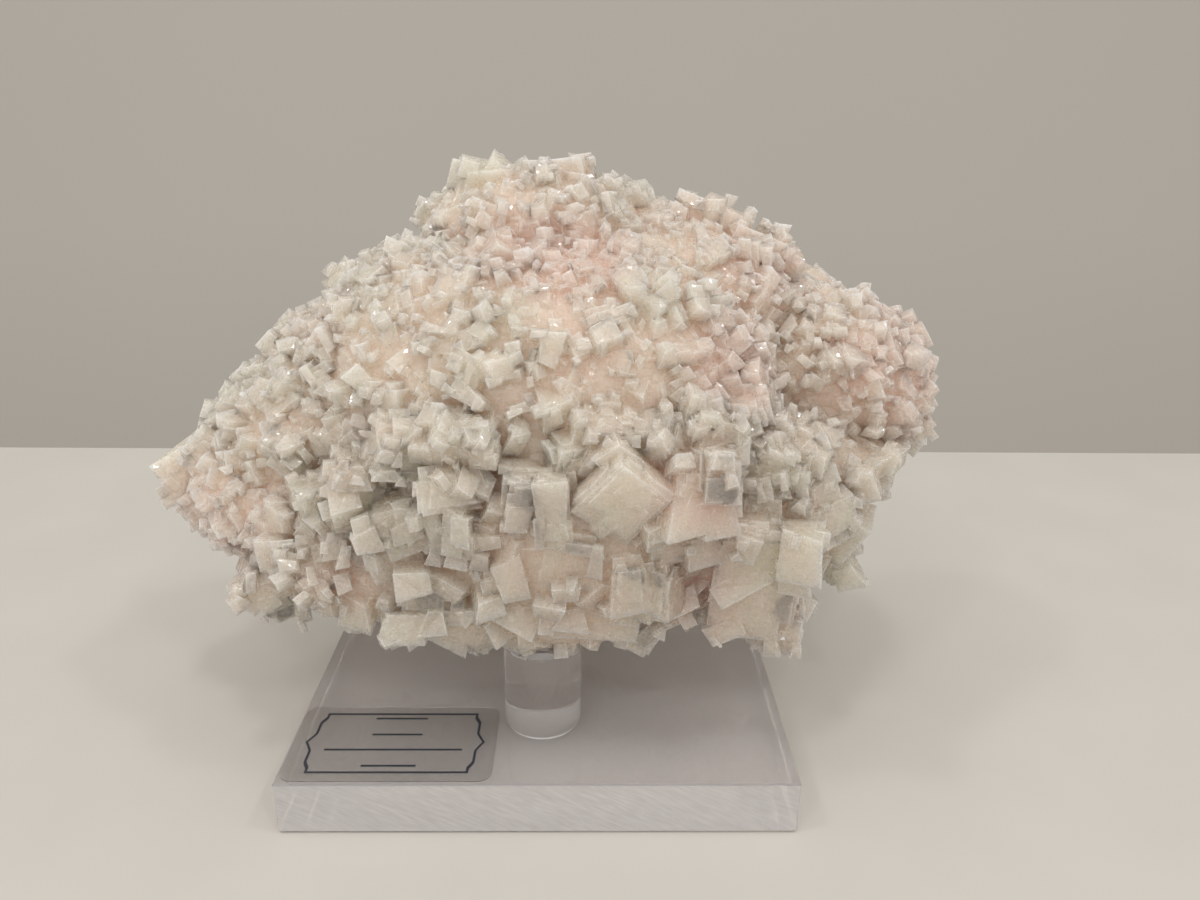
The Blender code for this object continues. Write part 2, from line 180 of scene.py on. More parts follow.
# The specimen's body, as overlapping lumps in millimetres:
# name, middle, half sizes, turn about X, Y and Z in degrees
LUMPS = (
    ("heart", (0, -2, 76), (50, 34, 33), (0, 0, 0)),
    ("left slope", (-43, 3, 71), (42, 25, 18), (0, -40, 0)),
    ("left keel", (-47, -5, 52), (28, 21, 12), (0, 16, 0)),
    ("left foot", (-34, -17, 46), (22, 17, 13), (0, 0, 0)),
    ("crown", (-2, 6, 107), (22, 16, 12), (0, 0, 0)),
    ("right ledge", (29, 5, 96), (24, 17, 13), (0, 12, 0)),
    ("right wing", (60.5, 9, 78), (25, 21, 17), (0, 26, 0)),
    ("right flank", (54, -5, 59), (18, 18, 13), (0, 8, 0)),
    ("front apron", (6, -22, 56), (32, 21, 25), (0, 0, 0)),
    ("right apron", (38, -17, 53), (21, 18, 20), (0, 0, 0)),
    ("chin", (4, -22, 40), (26, 18, 10), (0, 0, 0)),
    ("back swell", (2, 20, 72), (46, 20, 27), (0, 0, 0)),
)
LUMP_DETAIL = 3  # subdivisions of a lump's sphere
LUMP_DRAWS = 42  # random numbers for each of the frame's lumps, taken before those of its crystals

# Crystals that stand out from the rest, in millimetres:
# name, middle, edge lengths, turn about X, Y and Z in degrees
LEADING_CRYSTALS = (
    ("spearhead", (15.6, -42.5, 68.5), (13, 6, 13), (18, 38, 12)),
    ("rosy block", (28.0, -38.5, 68.5), (12, 10, 14), (-8, 6, 20)),
    ("rosy block step", (31.5, -40.5, 72.0), (7, 8, 9), (-8, 6, 20)),
    ("great face", (41.5, -32.0, 48.5), (17, 14, 22), (4, 3, -6)),
    ("great face brow", (40.0, -33.5, 59.5), (12, 13, 4), (4, 3, -6)),
    ("great face corner", (47.5, -31.0, 38.0), (8, 13, 10), (4, 3, -6)),
    ("standing cube", (16.0, -39.5, 51.0), (7, 9, 11), (6, -4, 14)),
    ("glinting strip", (23.2, -38.5, 49.5), (5, 8, 10), (2, 8, -28)),
    ("quarter plate", (7.0, -40.0, 57.0), (12, 8, 11), (14, 8, -8)),
    ("tongue", (2.8, -42.0, 66.0), (6, 6, 13), (6, -2, -4)),
    ("tongue neighbour", (-3.2, -41.0, 68.5), (5, 7, 7), (10, 6, 8)),
    ("shelf", (-14.6, -38.5, 69.0), (11, 9, 8), (-14, -4, 12)),
    ("low shelf", (-5.6, -37.5, 51.5), (12, 10, 8), (12, -12, 10)),
    ("left tile", (-20.5, -33.5, 43.5), (12, 10, 11), (-8, 7, 8)),
    ("left tile back", (-25.0, -31.0, 53.0), (10, 9, 9), (16, -14, 30)),
    ("fang", (-13.8, -34.0, 37.0), (12, 5, 9), (12, 36, 14)),
    ("bulb", (-32.0, -30.5, 44.5), (10, 9, 12), (6, 12, -18)),
    ("bulb foot", (-27.0, -31.0, 37.5), (9, 8, 6), (10, -20, 12)),
    ("chin slab", (10.5, -34.0, 41.5), (16, 12, 8), (6, 12, 8)),
    ("chin wedge", (17.5, -32.0, 37.0), (11, 9, 8), (4, 34, 6)),
    ("chin left", (-3.0, -32.0, 41.0), (14, 10, 8), (-4, -8, 6)),
    ("left lantern", (-53.0, -22.0, 40.0), (14, 11, 10), (8, -16, 22)),
    ("left lantern end", (-59.0, -17.0, 42.0), (9, 9, 9), (-12, 24, 30)),
    ("left lantern heel", (-45.0, -22.0, 40.5), (10, 9, 9), (16, 10, -12)),
    ("pillow block", (24.5, -24.0, 90.0), (12, 9, 8), (28, -4, 14)),
    ("pillow neighbour", (16.0, -29.0, 84.5), (10, 8, 7), (24, 10, -16)),
    ("cream cube", (3.0, -31.5, 82.0), (10, 9, 8), (22, -8, 20)),
    ("cream cube left", (-6.5, -31.5, 79.0), (11, 9, 7), (18, 12, -18)),
    ("cream cube low", (6.0, -37.0, 74.5), (9, 8, 7), (12, -6, 28)),
    ("pocket lip", (38.5, -27.0, 80.0), (9, 8, 4), (12, -12, -14)),
    ("snow block", (61.0, -14.5, 62.0), (15, 12, 11), (10, 12, -24)),
    ("snow block end", (70.0, -8.0, 62.0), (11, 11, 9), (-6, 16, -30)),
    ("snow block step", (52.5, -19.0, 62.5), (10, 9, 9), (14, -10, -18)),
    ("dusky tile", (66.0, -11.0, 54.0), (8, 10, 8), (4, 14, -26)),
    ("drop plate", (58.0, -18.0, 47.5), (11, 6, 13), (6, 24, -20)),
    ("drop plate tip", (61.6, -18.5, 43.5), (5, 4, 9), (4, -26, -14)),
    ("crown left", (-12.6, 4.0, 115.5), (10, 10, 11), (6, 10, 12)),
    ("crown left tip", (-10.4, 5.0, 119.5), (6, 8, 7), (12, 28, 6)),
    ("crown saddle", (-3.0, 7.0, 114.0), (9, 10, 8), (0, -8, 24)),
    ("crown right", (4.6, 6.0, 116.5), (10, 10, 10), (-6, -6, -12)),
    ("crown right horn", (7.6, 6.5, 120.5), (4, 6, 6), (4, -12, 20)),
    ("ledge end", (45.0, 8.0, 103.5), (15, 12, 9), (6, 24, 10)),
    ("ledge middle", (33.5, 10.0, 109.0), (11, 10, 9), (-10, 12, -16)),
    ("ledge start", (20.5, 9.0, 109.0), (13, 11, 9), (8, -6, 14)),
    ("ledge rail", (38.0, -2.0, 106.0), (16, 5, 3), (10, 4, -10)),
    ("wing tip", (80.0, 14.0, 73.0), (12, 14, 14), (8, 22, -12)),
    ("wing tip heel", (80.5, 12.0, 65.5), (11, 12, 8), (-8, 10, 10)),
    ("wing roof", (67.0, 15.0, 87.0), (17, 14, 10), (4, 38, 6)),
    ("wing notch", (57.0, 14.0, 94.5), (9, 10, 8), (14, 30, -18)),
    ("left tip", (-79.5, -1.0, 56.5), (11, 10, 9), (-10, -30, 24)),
    ("left tip heel", (-72.0, -7.0, 51.5), (10, 9, 8), (14, -34, 10)),
    ("slope bump", (-42.5, 8.0, 97.0), (7, 8, 7), (8, 30, 30)),
    ("back shoulder", (-22.0, 34.0, 82.0), (17, 12, 14), (12, 18, 16)),
    ("back block", (8.0, 38.0, 74.0), (16, 11, 15), (-10, 8, 28)),
    ("back step", (30.0, 32.0, 66.0), (15, 12, 12), (14, -16, -22)),
    ("back foot", (-8.0, 30.0, 54.0), (15, 12, 11), (-18, 10, 8)),
)

# Crystals behind the top of the lower front row, in millimetres: middle, edge lengths, turn
BROW_CRYSTALS = (
    ((-23.0, -35.0, 75.0), (10, 9, 9), (16, 10, 20)),
    ((-13.0, -37.5, 77.0), (11, 9, 8), (24, -6, -14)),
    ((12.5, -37.0, 77.5), (9, 9, 8), (20, 12, 16)),
    ((21.0, -35.5, 76.5), (10, 9, 9), (26, -8, -22)),
    ((31.0, -33.0, 78.5), (10, 9, 8), (18, 8, 12)),
    ((42.0, -29.0, 70.5), (11, 10, 10), (14, -10, -18)),
    ((49.0, -24.5, 70.0), (10, 9, 9), (12, 12, -32)),
    ((-33.0, -31.0, 66.0), (10, 9, 9), (10, 14, 26)),
    ((-34.0, -29.0, 58.0), (12, 9, 10), (-8, 10, 22)),
    ((-23.5, -33.5, 60.5), (12, 9, 9), (6, -14, 12)),
    ((-43.5, -24.5, 52.5), (11, 9, 10), (-6, 12, 34)),
    ((-13.0, -37.0, 60.0), (11, 9, 9), (10, 8, -10)),
    ((24.0, -37.5, 59.5), (10, 8, 9), (8, -10, 18)),
    ((49.0, -27.5, 58.5), (11, 9, 9), (6, 14, -24)),
    ((-42.0, -26.0, 60.5), (10, 10, 8), (12, -12, 34)),
)

# Hollows where no large crystal grows, in millimetres: name, middle, edge lengths, turn
HOLLOWS = (
    ("crown hollow", (2.0, -19.0, 106.0), (13, 9, 7), (20, 8, 12)),
    ("deep pocket", (36.5, -26.0, 88.5), (6, 9, 7), (10, 14, -16)),
    ("side pocket", (47.0, -19.0, 83.0), (5, 7, 8), (0, 24, -20)),
    ("cream cleft", (-2.0, -43.0, 74.0), (6, 6, 4), (10, -20, 10)),
    ("left cleft", (-56.0, -18.0, 57.0), (9, 7, 4), (0, -16, 12)),
)

# Crystals that fill the surface between the leading ones, as in the frame
GROWTH_SEED = 41
GROWTH_TRIES = 9000
FINE_EDGE = 9.2  # mm, at the top left
COARSE_EDGE = 13.0  # mm, at the lower front
SPACING = 0.87  # distance between neighbours, as a share of their edges
LARGEST_TILT = 42.0  # degrees that a crystal leans from the surface it grows on
SEAT = -0.24  # how far a crystal's middle stands off the surface, as a share of its edge
UNDERSIDE_CLEAR = 30.0  # mm, no grown crystal's middle lies lower than this
GROWN_SHAPE = (0.75, 1.15)  # least and most of a crystal's proportions
BURIED = 0.97  # share of another lump's size within which nothing grows

# Where the crystals are coarse, in millimetres: from where it starts to where it is full
COARSE_LOW = (96.0, 52.0)  # along Z
COARSE_FRONT = (12.0, -30.0)  # along Y
COARSE_RIGHT = (-62.0, -10.0)  # along X
BACK_SHARE = 0.25  # how much of it is left behind the middle
LEFT_SHARE = 0.3  # and at the far left

# Places with a pink tone, in millimetres: name, middle, reach, strength
ROSY_PLACES = (
    ("wing", (76, 10, 82), (34, 40, 26), 0.75),
    ("crown hollow", (3, -12, 106), (20, 20, 12), 1.0),
    ("deep pocket", (38, -24, 88), (16, 18, 14), 1.0),
    ("ledge", (38, 5, 102), (34, 30, 18), 0.5),
    ("rosy block", (28, -40, 68), (14, 14, 14), 0.6),
    ("left keel", (-66, -10, 50), (30, 30, 18), 0.55),
    ("left foot", (-38, -25, 52), (24, 20, 14), 0.35),
    ("under great face", (32, -34, 46), (14, 16, 16), 0.55),
)

# ---------------------------------------------------------------- settings


class HaliteSettings(bpy.types.PropertyGroup):
    """How the crystals grow and look."""

    step_count: IntProperty(
        name="Steps on a face",
        description="Most raised plates grown on an outer face of a coarse crystal", default=8, min=0,
    )
    small_edge: FloatProperty(
        name="Small crystal", description="Edge of the smallest crystals of the fine crust",
        default=1.7 * MM, unit="LENGTH",
    )
    medium_edge: FloatProperty(
        name="Medium crystal", description="Edge of the largest crystals of the fine crust",
        default=3.8 * MM, unit="LENGTH",
    )
    pale_colour: FloatVectorProperty(
        name="Pale halite", description="Colour of the outer crystals", subtype="COLOR",
        default=(0.75, 0.69, 0.56),
    )
    rose_colour: FloatVectorProperty(
        name="Rose halite", description="Colour of the pink parts", subtype="COLOR",
        default=(0.77, 0.58, 0.485),
    )
    # Painted light: a brighter, pinker colour between and behind the crystals that stands in for light
    # scattered through the salt into the gaps
    painted_gap_light_colour: FloatVectorProperty(
        name="Painted gap light", description="Colour between and behind the crystals", subtype="COLOR",
        default=(0.87, 0.665, 0.54),
    )
    frost_colour: FloatVectorProperty(
        name="Frosted edges", description="Colour along a crystal's edges", subtype="COLOR",
        default=(0.91, 0.88, 0.80),
    )
    clearness: FloatProperty(
        name="Clearness", description="Share of light that passes straight through a crystal",
        default=0.34, min=0.0, max=1.0, subtype="FACTOR",
    )
    milk_depth: FloatProperty(
        name="Milkiness", description="How far light wanders inside a crystal", default=13.0 * MM,
        unit="LENGTH",
    )


class StandSettings(bpy.types.PropertyGroup):
    """The acrylic stand and its label."""

    acrylic_tint: FloatVectorProperty(
        name="Acrylic tint", description="Colour of light that has passed through the acrylic",
        subtype="COLOR", default=(0.995, 0.96, 0.95),
    )
    rod_clearness: FloatProperty(
        name="Rod clearness", description="Share of light that the rod lets through", default=0.96,
        min=0.0, max=1.0, subtype="FACTOR",
    )
    plate_clearness: FloatProperty(
        name="Plate clearness",
        description="Share of light that the plate lets through; the rest makes its faint haze",
        default=0.78, min=0.0, max=1.0, subtype="FACTOR",
    )
    ink_colour: FloatVectorProperty(
        name="Ink", description="Colour of the printed border and lines", subtype="COLOR",
        default=(0.03, 0.035, 0.05),
    )
    border_width: FloatProperty(
        name="Border width", description="Width of the label's printed border", default=0.5 * MM,
        unit="LENGTH",
    )


class StageSettings(bpy.types.PropertyGroup):
    """Table, backdrop and lights."""

    table_colour: FloatVectorProperty(
        name="Table", description="Colour of the table", subtype="COLOR", default=(0.60, 0.575, 0.53)
    )
    wall_colour: FloatVectorProperty(
        name="Backdrop", description="Colour of the backdrop", subtype="COLOR",
        default=(0.42, 0.395, 0.355),
    )
    softbox_power: FloatProperty(
        name="Softbox", description="Power of the large light overhead", default=0.5, unit="POWER"
    )
    fill_power: FloatProperty(
        name="Front fill", description="Power of the broad low light in front", default=3.0, unit="POWER"
    )
    panel_power: FloatProperty(
        name="Ceiling panels", description="Power of each small light that makes the crystals glint",
        default=1.5, unit="POWER",
    )
    room_light: FloatProperty(
        name="Room light", description="Strength of the even light from all round", default=0.79, min=0.0
    )


# ---------------------------------------------------------------- growing crystals


def turn_matrix(degrees):
    """Rotation about X, Y and Z in that order."""
    return Euler([math.radians(angle) for angle in degrees]).to_matrix()


def lump_surface(lump, direction):
    """The point where a ray from a lump's middle leaves it, and the outward normal there."""
    _, middle, radii, degrees = lump
    turn = turn_matrix(degrees)
    local = direction.normalized()
    reach = Vector([local[axis] * radii[axis] for axis in range(3)])
    normal = Vector([local[axis] / radii[axis] for axis in range(3)]).normalized()
    return Vector(middle) + turn @ reach, turn @ normal


def is_inside(point, lump, share):
    """Whether a point lies within a share of a lump's size."""
    _, middle, radii, degrees = lump
    local = turn_matrix(degrees).transposed() @ (point - Vector(middle))
    return sum((local[axis] / radii[axis]) ** 2 for axis in range(3)) < share**2


def blend(low, high, value):
    """0 at low, 1 at high, and straight between."""
    return np.clip((value - low) / (high - low), 0.0, 1.0)


def coarseness(x, y, z):
    """0 where the specimen is a fine crust and 1 low down at the front, where its crystals are large."""
    frontness = BACK_SHARE + (1.0 - BACK_SHARE) * blend(*COARSE_FRONT, y)
    rightness = LEFT_SHARE + (1.0 - LEFT_SHARE) * blend(*COARSE_RIGHT, x)
    return blend(*COARSE_LOW, z) * frontness * rightness


def random_direction(chance):
    """A direction with no favourite side."""
    while True:
        direction = Vector([chance.uniform(-1, 1) for _ in range(3)])
        if 0.1 < direction.length < 1.0:
            return direction.normalized()


def grown_crystals(chance):
    """Large crystals spread over the lumps' outer surface, as (middle, edges, turn)."""
    weights = [radii[0] * radii[1] + radii[1] * radii[2] for _, _, radii, _ in LUMPS]
    taken = [(Vector(middle), max(edges)) for _, middle, edges, _ in LEADING_CRYSTALS]
    taken += [(Vector(middle), max(edges)) for _, middle, edges, _ in HOLLOWS]
    crystals = []
    for _ in range(GROWTH_TRIES):
        lump = chance.choices(LUMPS, weights)[0]
        point, normal = lump_surface(lump, random_direction(chance))
        proportions = [chance.uniform(*GROWN_SHAPE) for _ in range(3)]
        tilt = math.radians(chance.uniform(0, LARGEST_TILT))
        spin = chance.uniform(0, math.tau)
        lean_axis = normal.orthogonal().normalized()
        lean_axis.rotate(Matrix.Rotation(chance.uniform(0, math.tau), 3, normal))
        if any(is_inside(point, other, BURIED) for other in LUMPS if other is not lump):
            continue
        edge = FINE_EDGE + (COARSE_EDGE - FINE_EDGE) * coarseness(*point)
        if point.z < UNDERSIDE_CLEAR + edge / 2:
            continue
        if any((point - place).length < SPACING * (edge + other) / 2 for place, other in taken):
            continue
        taken.append((point, edge))
        upright = normal.to_track_quat("Z", "Y").to_matrix()
        turn = Matrix.Rotation(tilt, 3, lean_axis) @ upright @ Matrix.Rotation(spin, 3, "Z")
        edges = [edge * share for share in proportions]
        crystals.append((point + normal * edge * SEAT, edges, turn))
    return crystals


class Blocks:
    """Many right-angled blocks: middles, edge lengths and turns, in millimetres."""

    def __init__(self, middles, edges, turns):
        self.middles = np.asarray(middles, float).reshape(-1, 3)
        self.edges = np.asarray(edges, float).reshape(-1, 3)
        self.turns = np.asarray(turns, float).reshape(-1, 3, 3)

    def __len__(self):
        return len(self.middles)

    def part(self, chosen):
        """The chosen blocks."""
        return Blocks(self.middles[chosen], self.edges[chosen], self.turns[chosen])

    def joined(self, other):
        """These blocks and others."""
        return Blocks(
            np.vstack([self.middles, other.middles]),
            np.vstack([self.edges, other.edges]),
            np.concatenate([self.turns, other.turns]),
        )

    def holds(self, points, margin=0.0):
        """Which points lie deeper than margin inside any block."""
        held = np.zeros(len(points), bool)
        order = np.argsort(points[:, 0])
        across = points[order, 0]
        for middle, edges, turn in zip(self.middles, self.edges, self.turns):
            reach = np.linalg.norm(edges) / 2
            near = order[slice(*np.searchsorted(across, (middle[0] - reach, middle[0] + reach)))]
            local = np.abs((points[near] - middle) @ turn)
            held[near] |= (local < edges / 2 - margin).all(1)
        return held


CUBE_CORNERS = np.array([(x, y, z) for x in (-0.5, 0.5) for y in (-0.5, 0.5) for z in (-0.5, 0.5)])
CUBE_FACES = np.array([
    (0, 1, 3, 2), (4, 6, 7, 5), (0, 4, 5, 1), (2, 3, 7, 6), (0, 2, 6, 4), (1, 5, 7, 3),
])
CUBE_AXES = np.array([(-1, 0, 0), (1, 0, 0), (0, -1, 0), (0, 1, 0), (0, 0, -1), (0, 0, 1)], float)


def block_mesh(name, blocks):
    """One mesh of separate blocks, each a little out of true, and the small ones tapered."""
    rng = np.random.default_rng(len(blocks))
    astray = rng.uniform(-CORNER_STRAY, CORNER_STRAY, (len(blocks), 8, 3))
    slim = rng.uniform(0.0, LARGEST_TAPER, (len(blocks), 2))
    slim = slim * blend(TAPER_FROM, TAPER_FULL, blocks.edges.max(1))[:, None]
    shapes = np.repeat(CUBE_CORNERS[None], len(blocks), 0)
    shapes[:, 1::2, :2] *= 1.0 - slim[:, None]
    shapes = shapes * blocks.edges[:, None] + astray * blocks.edges.min(1)[:, None, None]
    corners = np.einsum("nij,nkj->nki", blocks.turns, shapes)
    corners += blocks.middles[:, None]
    faces = CUBE_FACES[None] + 8 * np.arange(len(blocks))[:, None, None]
    return make_mesh(name, (corners.reshape(-1, 3) * MM).tolist(), faces.reshape(-1, 4).tolist())


class Neighbours:
    """Places sorted into cells, so that those near another are found quickly."""

    def __init__(self, places, reach):
        self.places = places
        self.reach = reach
        self.keys = [tuple(key) for key in np.floor(places / (2 * reach.max())).astype(int).tolist()]
        self.grid = {}

    def add(self, index):
        """Take up a place."""
        self.grid.setdefault(self.keys[index], []).append(index)

    def close(self, index):
        """Those taken up that are nearer than their reach and this one's together."""
        around = itertools.product(*((place - 1, place, place + 1) for place in self.keys[index]))
        others = np.array([other for key in around for other in self.grid.get(key, ())], int)
        apart = np.linalg.norm(self.places[others] - self.places[index], axis=1)
        return others[apart < self.reach[others] + self.reach[index]]


def layer_numbers(blocks):
    """A layer for each block, so that no two in a layer can touch."""
    near = Neighbours(blocks.middles, np.linalg.norm(blocks.edges, axis=1) / 2 + LAYER_GAP)
    numbers = np.zeros(len(blocks), int)
    for index in range(len(blocks)):
        used = set(numbers[near.close(index)].tolist())
        numbers[index] = next(number for number in range(len(used) + 1) if number not in used)
        near.add(index)
    return numbers


def swelling(points):
    """How much thicker than the lumps the grown mass is, in millimetres."""
    return SWELL * (1.0 - SWELL_LOSS * coarseness(*points.T))


def lump_mesh(lump):
    """A lump as an ellipsoid, thickened by the mass that has grown on it."""
    name, middle, radii, degrees = lump
    body = bmesh.new()
    bmesh.ops.create_icosphere(body, subdivisions=LUMP_DETAIL, radius=1.0)
    turn = turn_matrix(degrees)
    for vert in body.verts:
        reach = Vector([vert.co[axis] * radii[axis] for axis in range(3)])
        outward = turn @ Vector([vert.co[axis] / radii[axis] for axis in range(3)]).normalized()
        place = Vector(middle) + turn @ reach
        vert.co = (place + outward * swelling(np.array([place]))[0]) * MM
    bmesh.ops.recalc_face_normals(body, faces=body.faces)
    mesh = bpy.data.meshes.new(name)
    body.to_mesh(mesh)
    body.free()
    return mesh


def height_over_lumps(points):
    """How far points stand off the swollen lumps, in millimetres, less than 0 inside."""
    height = np.full(len(points), np.inf)
    for _, middle, radii, degrees in LUMPS:
        local = (points - np.array(middle, float)) @ np.array(turn_matrix(degrees))
        share = np.linalg.norm(local / np.array(radii, float), axis=1)
        outside = (share - 1.0) * np.linalg.norm(local, axis=1) / np.maximum(share, 0.2)
        height = np.minimum(height, outside)
    return height - swelling(points)


def surface_samples(blocks, count, rng):
    """Points on the outside of blocks: places, outward directions and the turns of those blocks."""
    area = blocks.edges[:, [1, 1, 0, 0, 0, 0]] * blocks.edges[:, [2, 2, 2, 2, 1, 1]]
    chosen = rng.choice(area.size, count, p=area.ravel() / area.sum())
    block, side = chosen // 6, chosen % 6
    local = rng.uniform(-0.5, 0.5, (count, 3))
    normal = CUBE_AXES[side]
    local = np.where(normal != 0, normal * 0.5, local) * blocks.edges[block]
    places = blocks.middles[block] + np.einsum("nij,nj->ni", blocks.turns[block], local)
    outward = np.einsum("nij,nj->ni", blocks.turns[block], normal)
    return places, outward, blocks.turns[block]


def lump_samples(count, rng):
    """Points on the outside of the lumps: places and outward directions."""
    radii = np.array([lump[2] for lump in LUMPS], float)
    middles = np.array([lump[1] for lump in LUMPS], float)
    turns = np.array([np.array(turn_matrix(lump[3])) for lump in LUMPS])
    weight = radii[:, 0] * radii[:, 1] + radii[:, 1] * radii[:, 2] + radii[:, 0] * radii[:, 2]
    lump = rng.choice(len(LUMPS), count, p=weight / weight.sum())
    direction = rng.normal(size=(count, 3))
    direction /= np.linalg.norm(direction, axis=1)[:, None]
    places = middles[lump] + np.einsum("nij,nj->ni", turns[lump], direction * radii[lump])
    outward = np.einsum("nij,nj->ni", turns[lump], direction / radii[lump])
    outward /= np.linalg.norm(outward, axis=1)[:, None]
    return places + outward * swelling(places)[:, None], outward


def spread(places, spacing):
    """Which places to keep so that none is nearer another than their spacing."""
    near = Neighbours(places, spacing / 2)
    kept = []
    for index in range(len(places)):
        if not len(near.close(index)):
            near.add(index)
            kept.append(index)
    return np.array(kept, int)


def random_turns(outward, largest_tilt, rng):
    """Turns whose third axis leans up to largest_tilt degrees from the outward direction."""
    count = len(outward)
    helper = np.where(np.abs(outward[:, 2:3]) < 0.9, [[0.0, 0.0, 1.0]], [[1.0, 0.0, 0.0]])
    first = np.cross(outward, helper)
    first /= np.linalg.norm(first, axis=1)[:, None]
    upright = np.stack([first, np.cross(outward, first), outward], -1)
    return upright @ about_z(rng.uniform(0, math.tau, count)) @ leaning(count, largest_tilt, rng)


def about_z(angles):
    """Turns about the third axis."""
    turns = np.zeros((len(angles), 3, 3))
    turns[:, 0, 0] = turns[:, 1, 1] = np.cos(angles)
    turns[:, 0, 1] = -np.sin(angles)
    turns[:, 1, 0] = np.sin(angles)
    turns[:, 2, 2] = 1.0
    return turns


def leaning(count, largest_tilt, rng):
    """Turns that lean the third axis by up to largest_tilt degrees, any way."""
    way = rng.uniform(0, math.tau, count)
    angle = np.radians(rng.uniform(0, largest_tilt, count))[:, None, None]
    cross = np.zeros((count, 3, 3))
    cross[:, 0, 2] = np.sin(way)
    cross[:, 1, 2] = -np.cos(way)
    cross[:, 2, 0] = -np.sin(way)
    cross[:, 2, 1] = np.cos(way)
    return np.eye(3) + np.sin(angle) * cross + (1 - np.cos(angle)) * (cross @ cross)


def face_steps(blocks, most, rng):
    """Raised plates on the faces of coarse blocks, in line with them."""
    middles, edges, turns = [], [], []
    share = coarseness(*blocks.middles.T)
    for middle, size, turn, coarse in zip(blocks.middles, blocks.edges, blocks.turns, share):
        for side in range(6):
            axis = side // 2
            sign = CUBE_AXES[side][axis]
            for _ in range(round(most * coarse)):
                extent = size * rng.uniform(*STEP_SPAN, 3)
                extent[axis] = rng.uniform(*STEP_THICK)
                offset = (size - extent) / 2 * rng.uniform(-STEP_STRAY, STEP_STRAY, 3)
                offset[axis] = sign * size[axis] / 2
                middles.append(middle + turn @ offset)
                edges.append(extent)
                turns.append(turn)
    steps = Blocks(middles, edges, turns)
    return steps.part(height_over_lumps(steps.middles) > STEP_HEIGHT)


def backing(leading):
    """Blocks close behind the front row of leading crystals, so that no deep slots are left there."""
    behind = leading.part(leading.middles[:, 1] < BACKED_FRONT)
    behind.middles += (0.0, BACKING_SETBACK, 0.0)
    behind.edges = np.maximum(behind.edges, BACKING_EDGE)
    return behind


class Sites:
    """Places where a crystal can grow, each with the way out and the turn of the block under it."""

    def __init__(self, large, tries, rng):
        on_blocks = surface_samples(large, tries, rng)
        on_lumps = lump_samples(tries // 2, rng)
        self.places = np.vstack([on_blocks[0], on_lumps[0]])
        self.outward = np.vstack([on_blocks[1], on_lumps[1]])
        self.parallel = np.concatenate([on_blocks[2], np.zeros((len(on_lumps[0]), 3, 3))])
        outside = height_over_lumps(self.places) > SITE_HEIGHT
        outside &= ~large.holds(self.places, SITE_DEPTH)
        self.keep(outside & (self.places[:, 2] > UNDERSIDE_CLEAR))

    def keep(self, chosen):
        """Drop all but the chosen sites."""
        self.places, self.outward, self.parallel = (
            values[chosen] for values in (self.places, self.outward, self.parallel)
        )

    def coarse(self):
        """How coarse the specimen is at each site."""
        return coarseness(*self.places.T)


def open_sites(large, leading, tries, near_share, rng):
    """Sites on the outside, few of them close to a leading crystal."""
    sites = Sites(large, tries, rng)
    near = leading.holds(sites.places, -LEADING_CLEAR)
    sites.keep(~near | (rng.uniform(size=len(near)) < near_share))
    return sites


def crystals_on(sites, edge, behind, shape, spacing, seat, rng):
    """Crystals on some of the sites, no two nearer than their spacing, and larger at the back."""
    count = len(edge)
    edge = edge * (1.0 + behind * blend(BACK_START, BACK_END, sites.places[:, 1]))
    seat = rng.uniform(*seat, count)
    turns = random_turns(sites.outward, LARGEST_LEAN, rng)
    follow = (rng.uniform(size=count) < ALIGNED_SHARE) & (np.abs(sites.parallel).max((1, 2)) > 0)
    turns[follow] = sites.parallel[follow] @ leaning(follow.sum(), ALIGNED_LEAN, rng)
    middles = sites.places + sites.outward * (edge * seat)[:, None]
    edges = edge[:, None] * rng.uniform(*shape, (count, 3))
    reach = np.linalg.norm(edges, axis=1)[:, None] / 2
    inside = ((middles - reach > CLUSTER_LOW) & (middles + reach < CLUSTER_HIGH)).all(1)
    kept = np.flatnonzero(inside)
    kept = kept[spread(sites.places[kept], edge[kept] * spacing)]
    return Blocks(middles[kept], edges[kept], turns[kept])


def infill_crystals(large, leading, rng):
    """Middling crystals between and over the large ones."""
    sites = open_sites(large, leading, INFILL_TRIES, INFILL_NEAR, rng)
    coarse = sites.coarse()
    edge = rng.uniform(*INFILL_EDGE, len(coarse)) + rng.uniform(*INFILL_COARSER, len(coarse)) * coarse
    seat = (INFILL_SEAT[0], INFILL_SEAT[1] + INFILL_PROUD * coarse)
    return crystals_on(sites, edge, INFILL_BEHIND, INFILL_SHAPE, INFILL_SPACING, seat, rng)


def crust_crystals(large, leading, small_edge, medium_edge, rng):
    """Small crystals over the fine parts."""
    sites = open_sites(large, leading, CRUST_TRIES, CRUST_NEAR, rng)
    sites.keep(rng.uniform(size=len(sites.places)) < (1.0 - CRUST_LOSS * sites.coarse()) ** CRUST_FALL)
    grade = rng.uniform(size=len(sites.places)) ** CRUST_SKEW
    edge = small_edge + (medium_edge - small_edge) * grade
    return crystals_on(sites, edge, CRUST_BEHIND, CRUST_SHAPE, CRUST_SPACING, CRUST_SEAT, rng)


def combined(mesh, others, operation):
    """One closed mesh: the first joined with, or cut by, the others."""
    collection = bpy.data.collections.new("others")
    bpy.context.scene.collection.children.link(collection)
    base = bpy.data.objects.new("base", mesh)
    bpy.context.scene.collection.objects.link(base)
    for other in others:
        collection.objects.link(bpy.data.objects.new("other", other))
    modifier = base.modifiers.new("combine", "BOOLEAN")
    modifier.operation = operation
    modifier.solver = "MANIFOLD"
    modifier.operand_type = "COLLECTION"
    modifier.collection = collection
    depsgraph = bpy.context.evaluated_depsgraph_get()
    result = bpy.data.meshes.new_from_object(base.evaluated_get(depsgraph))
    for thing in [base, *collection.objects]:
        bpy.data.objects.remove(thing, do_unlink=True)
    bpy.data.collections.remove(collection)
    return result


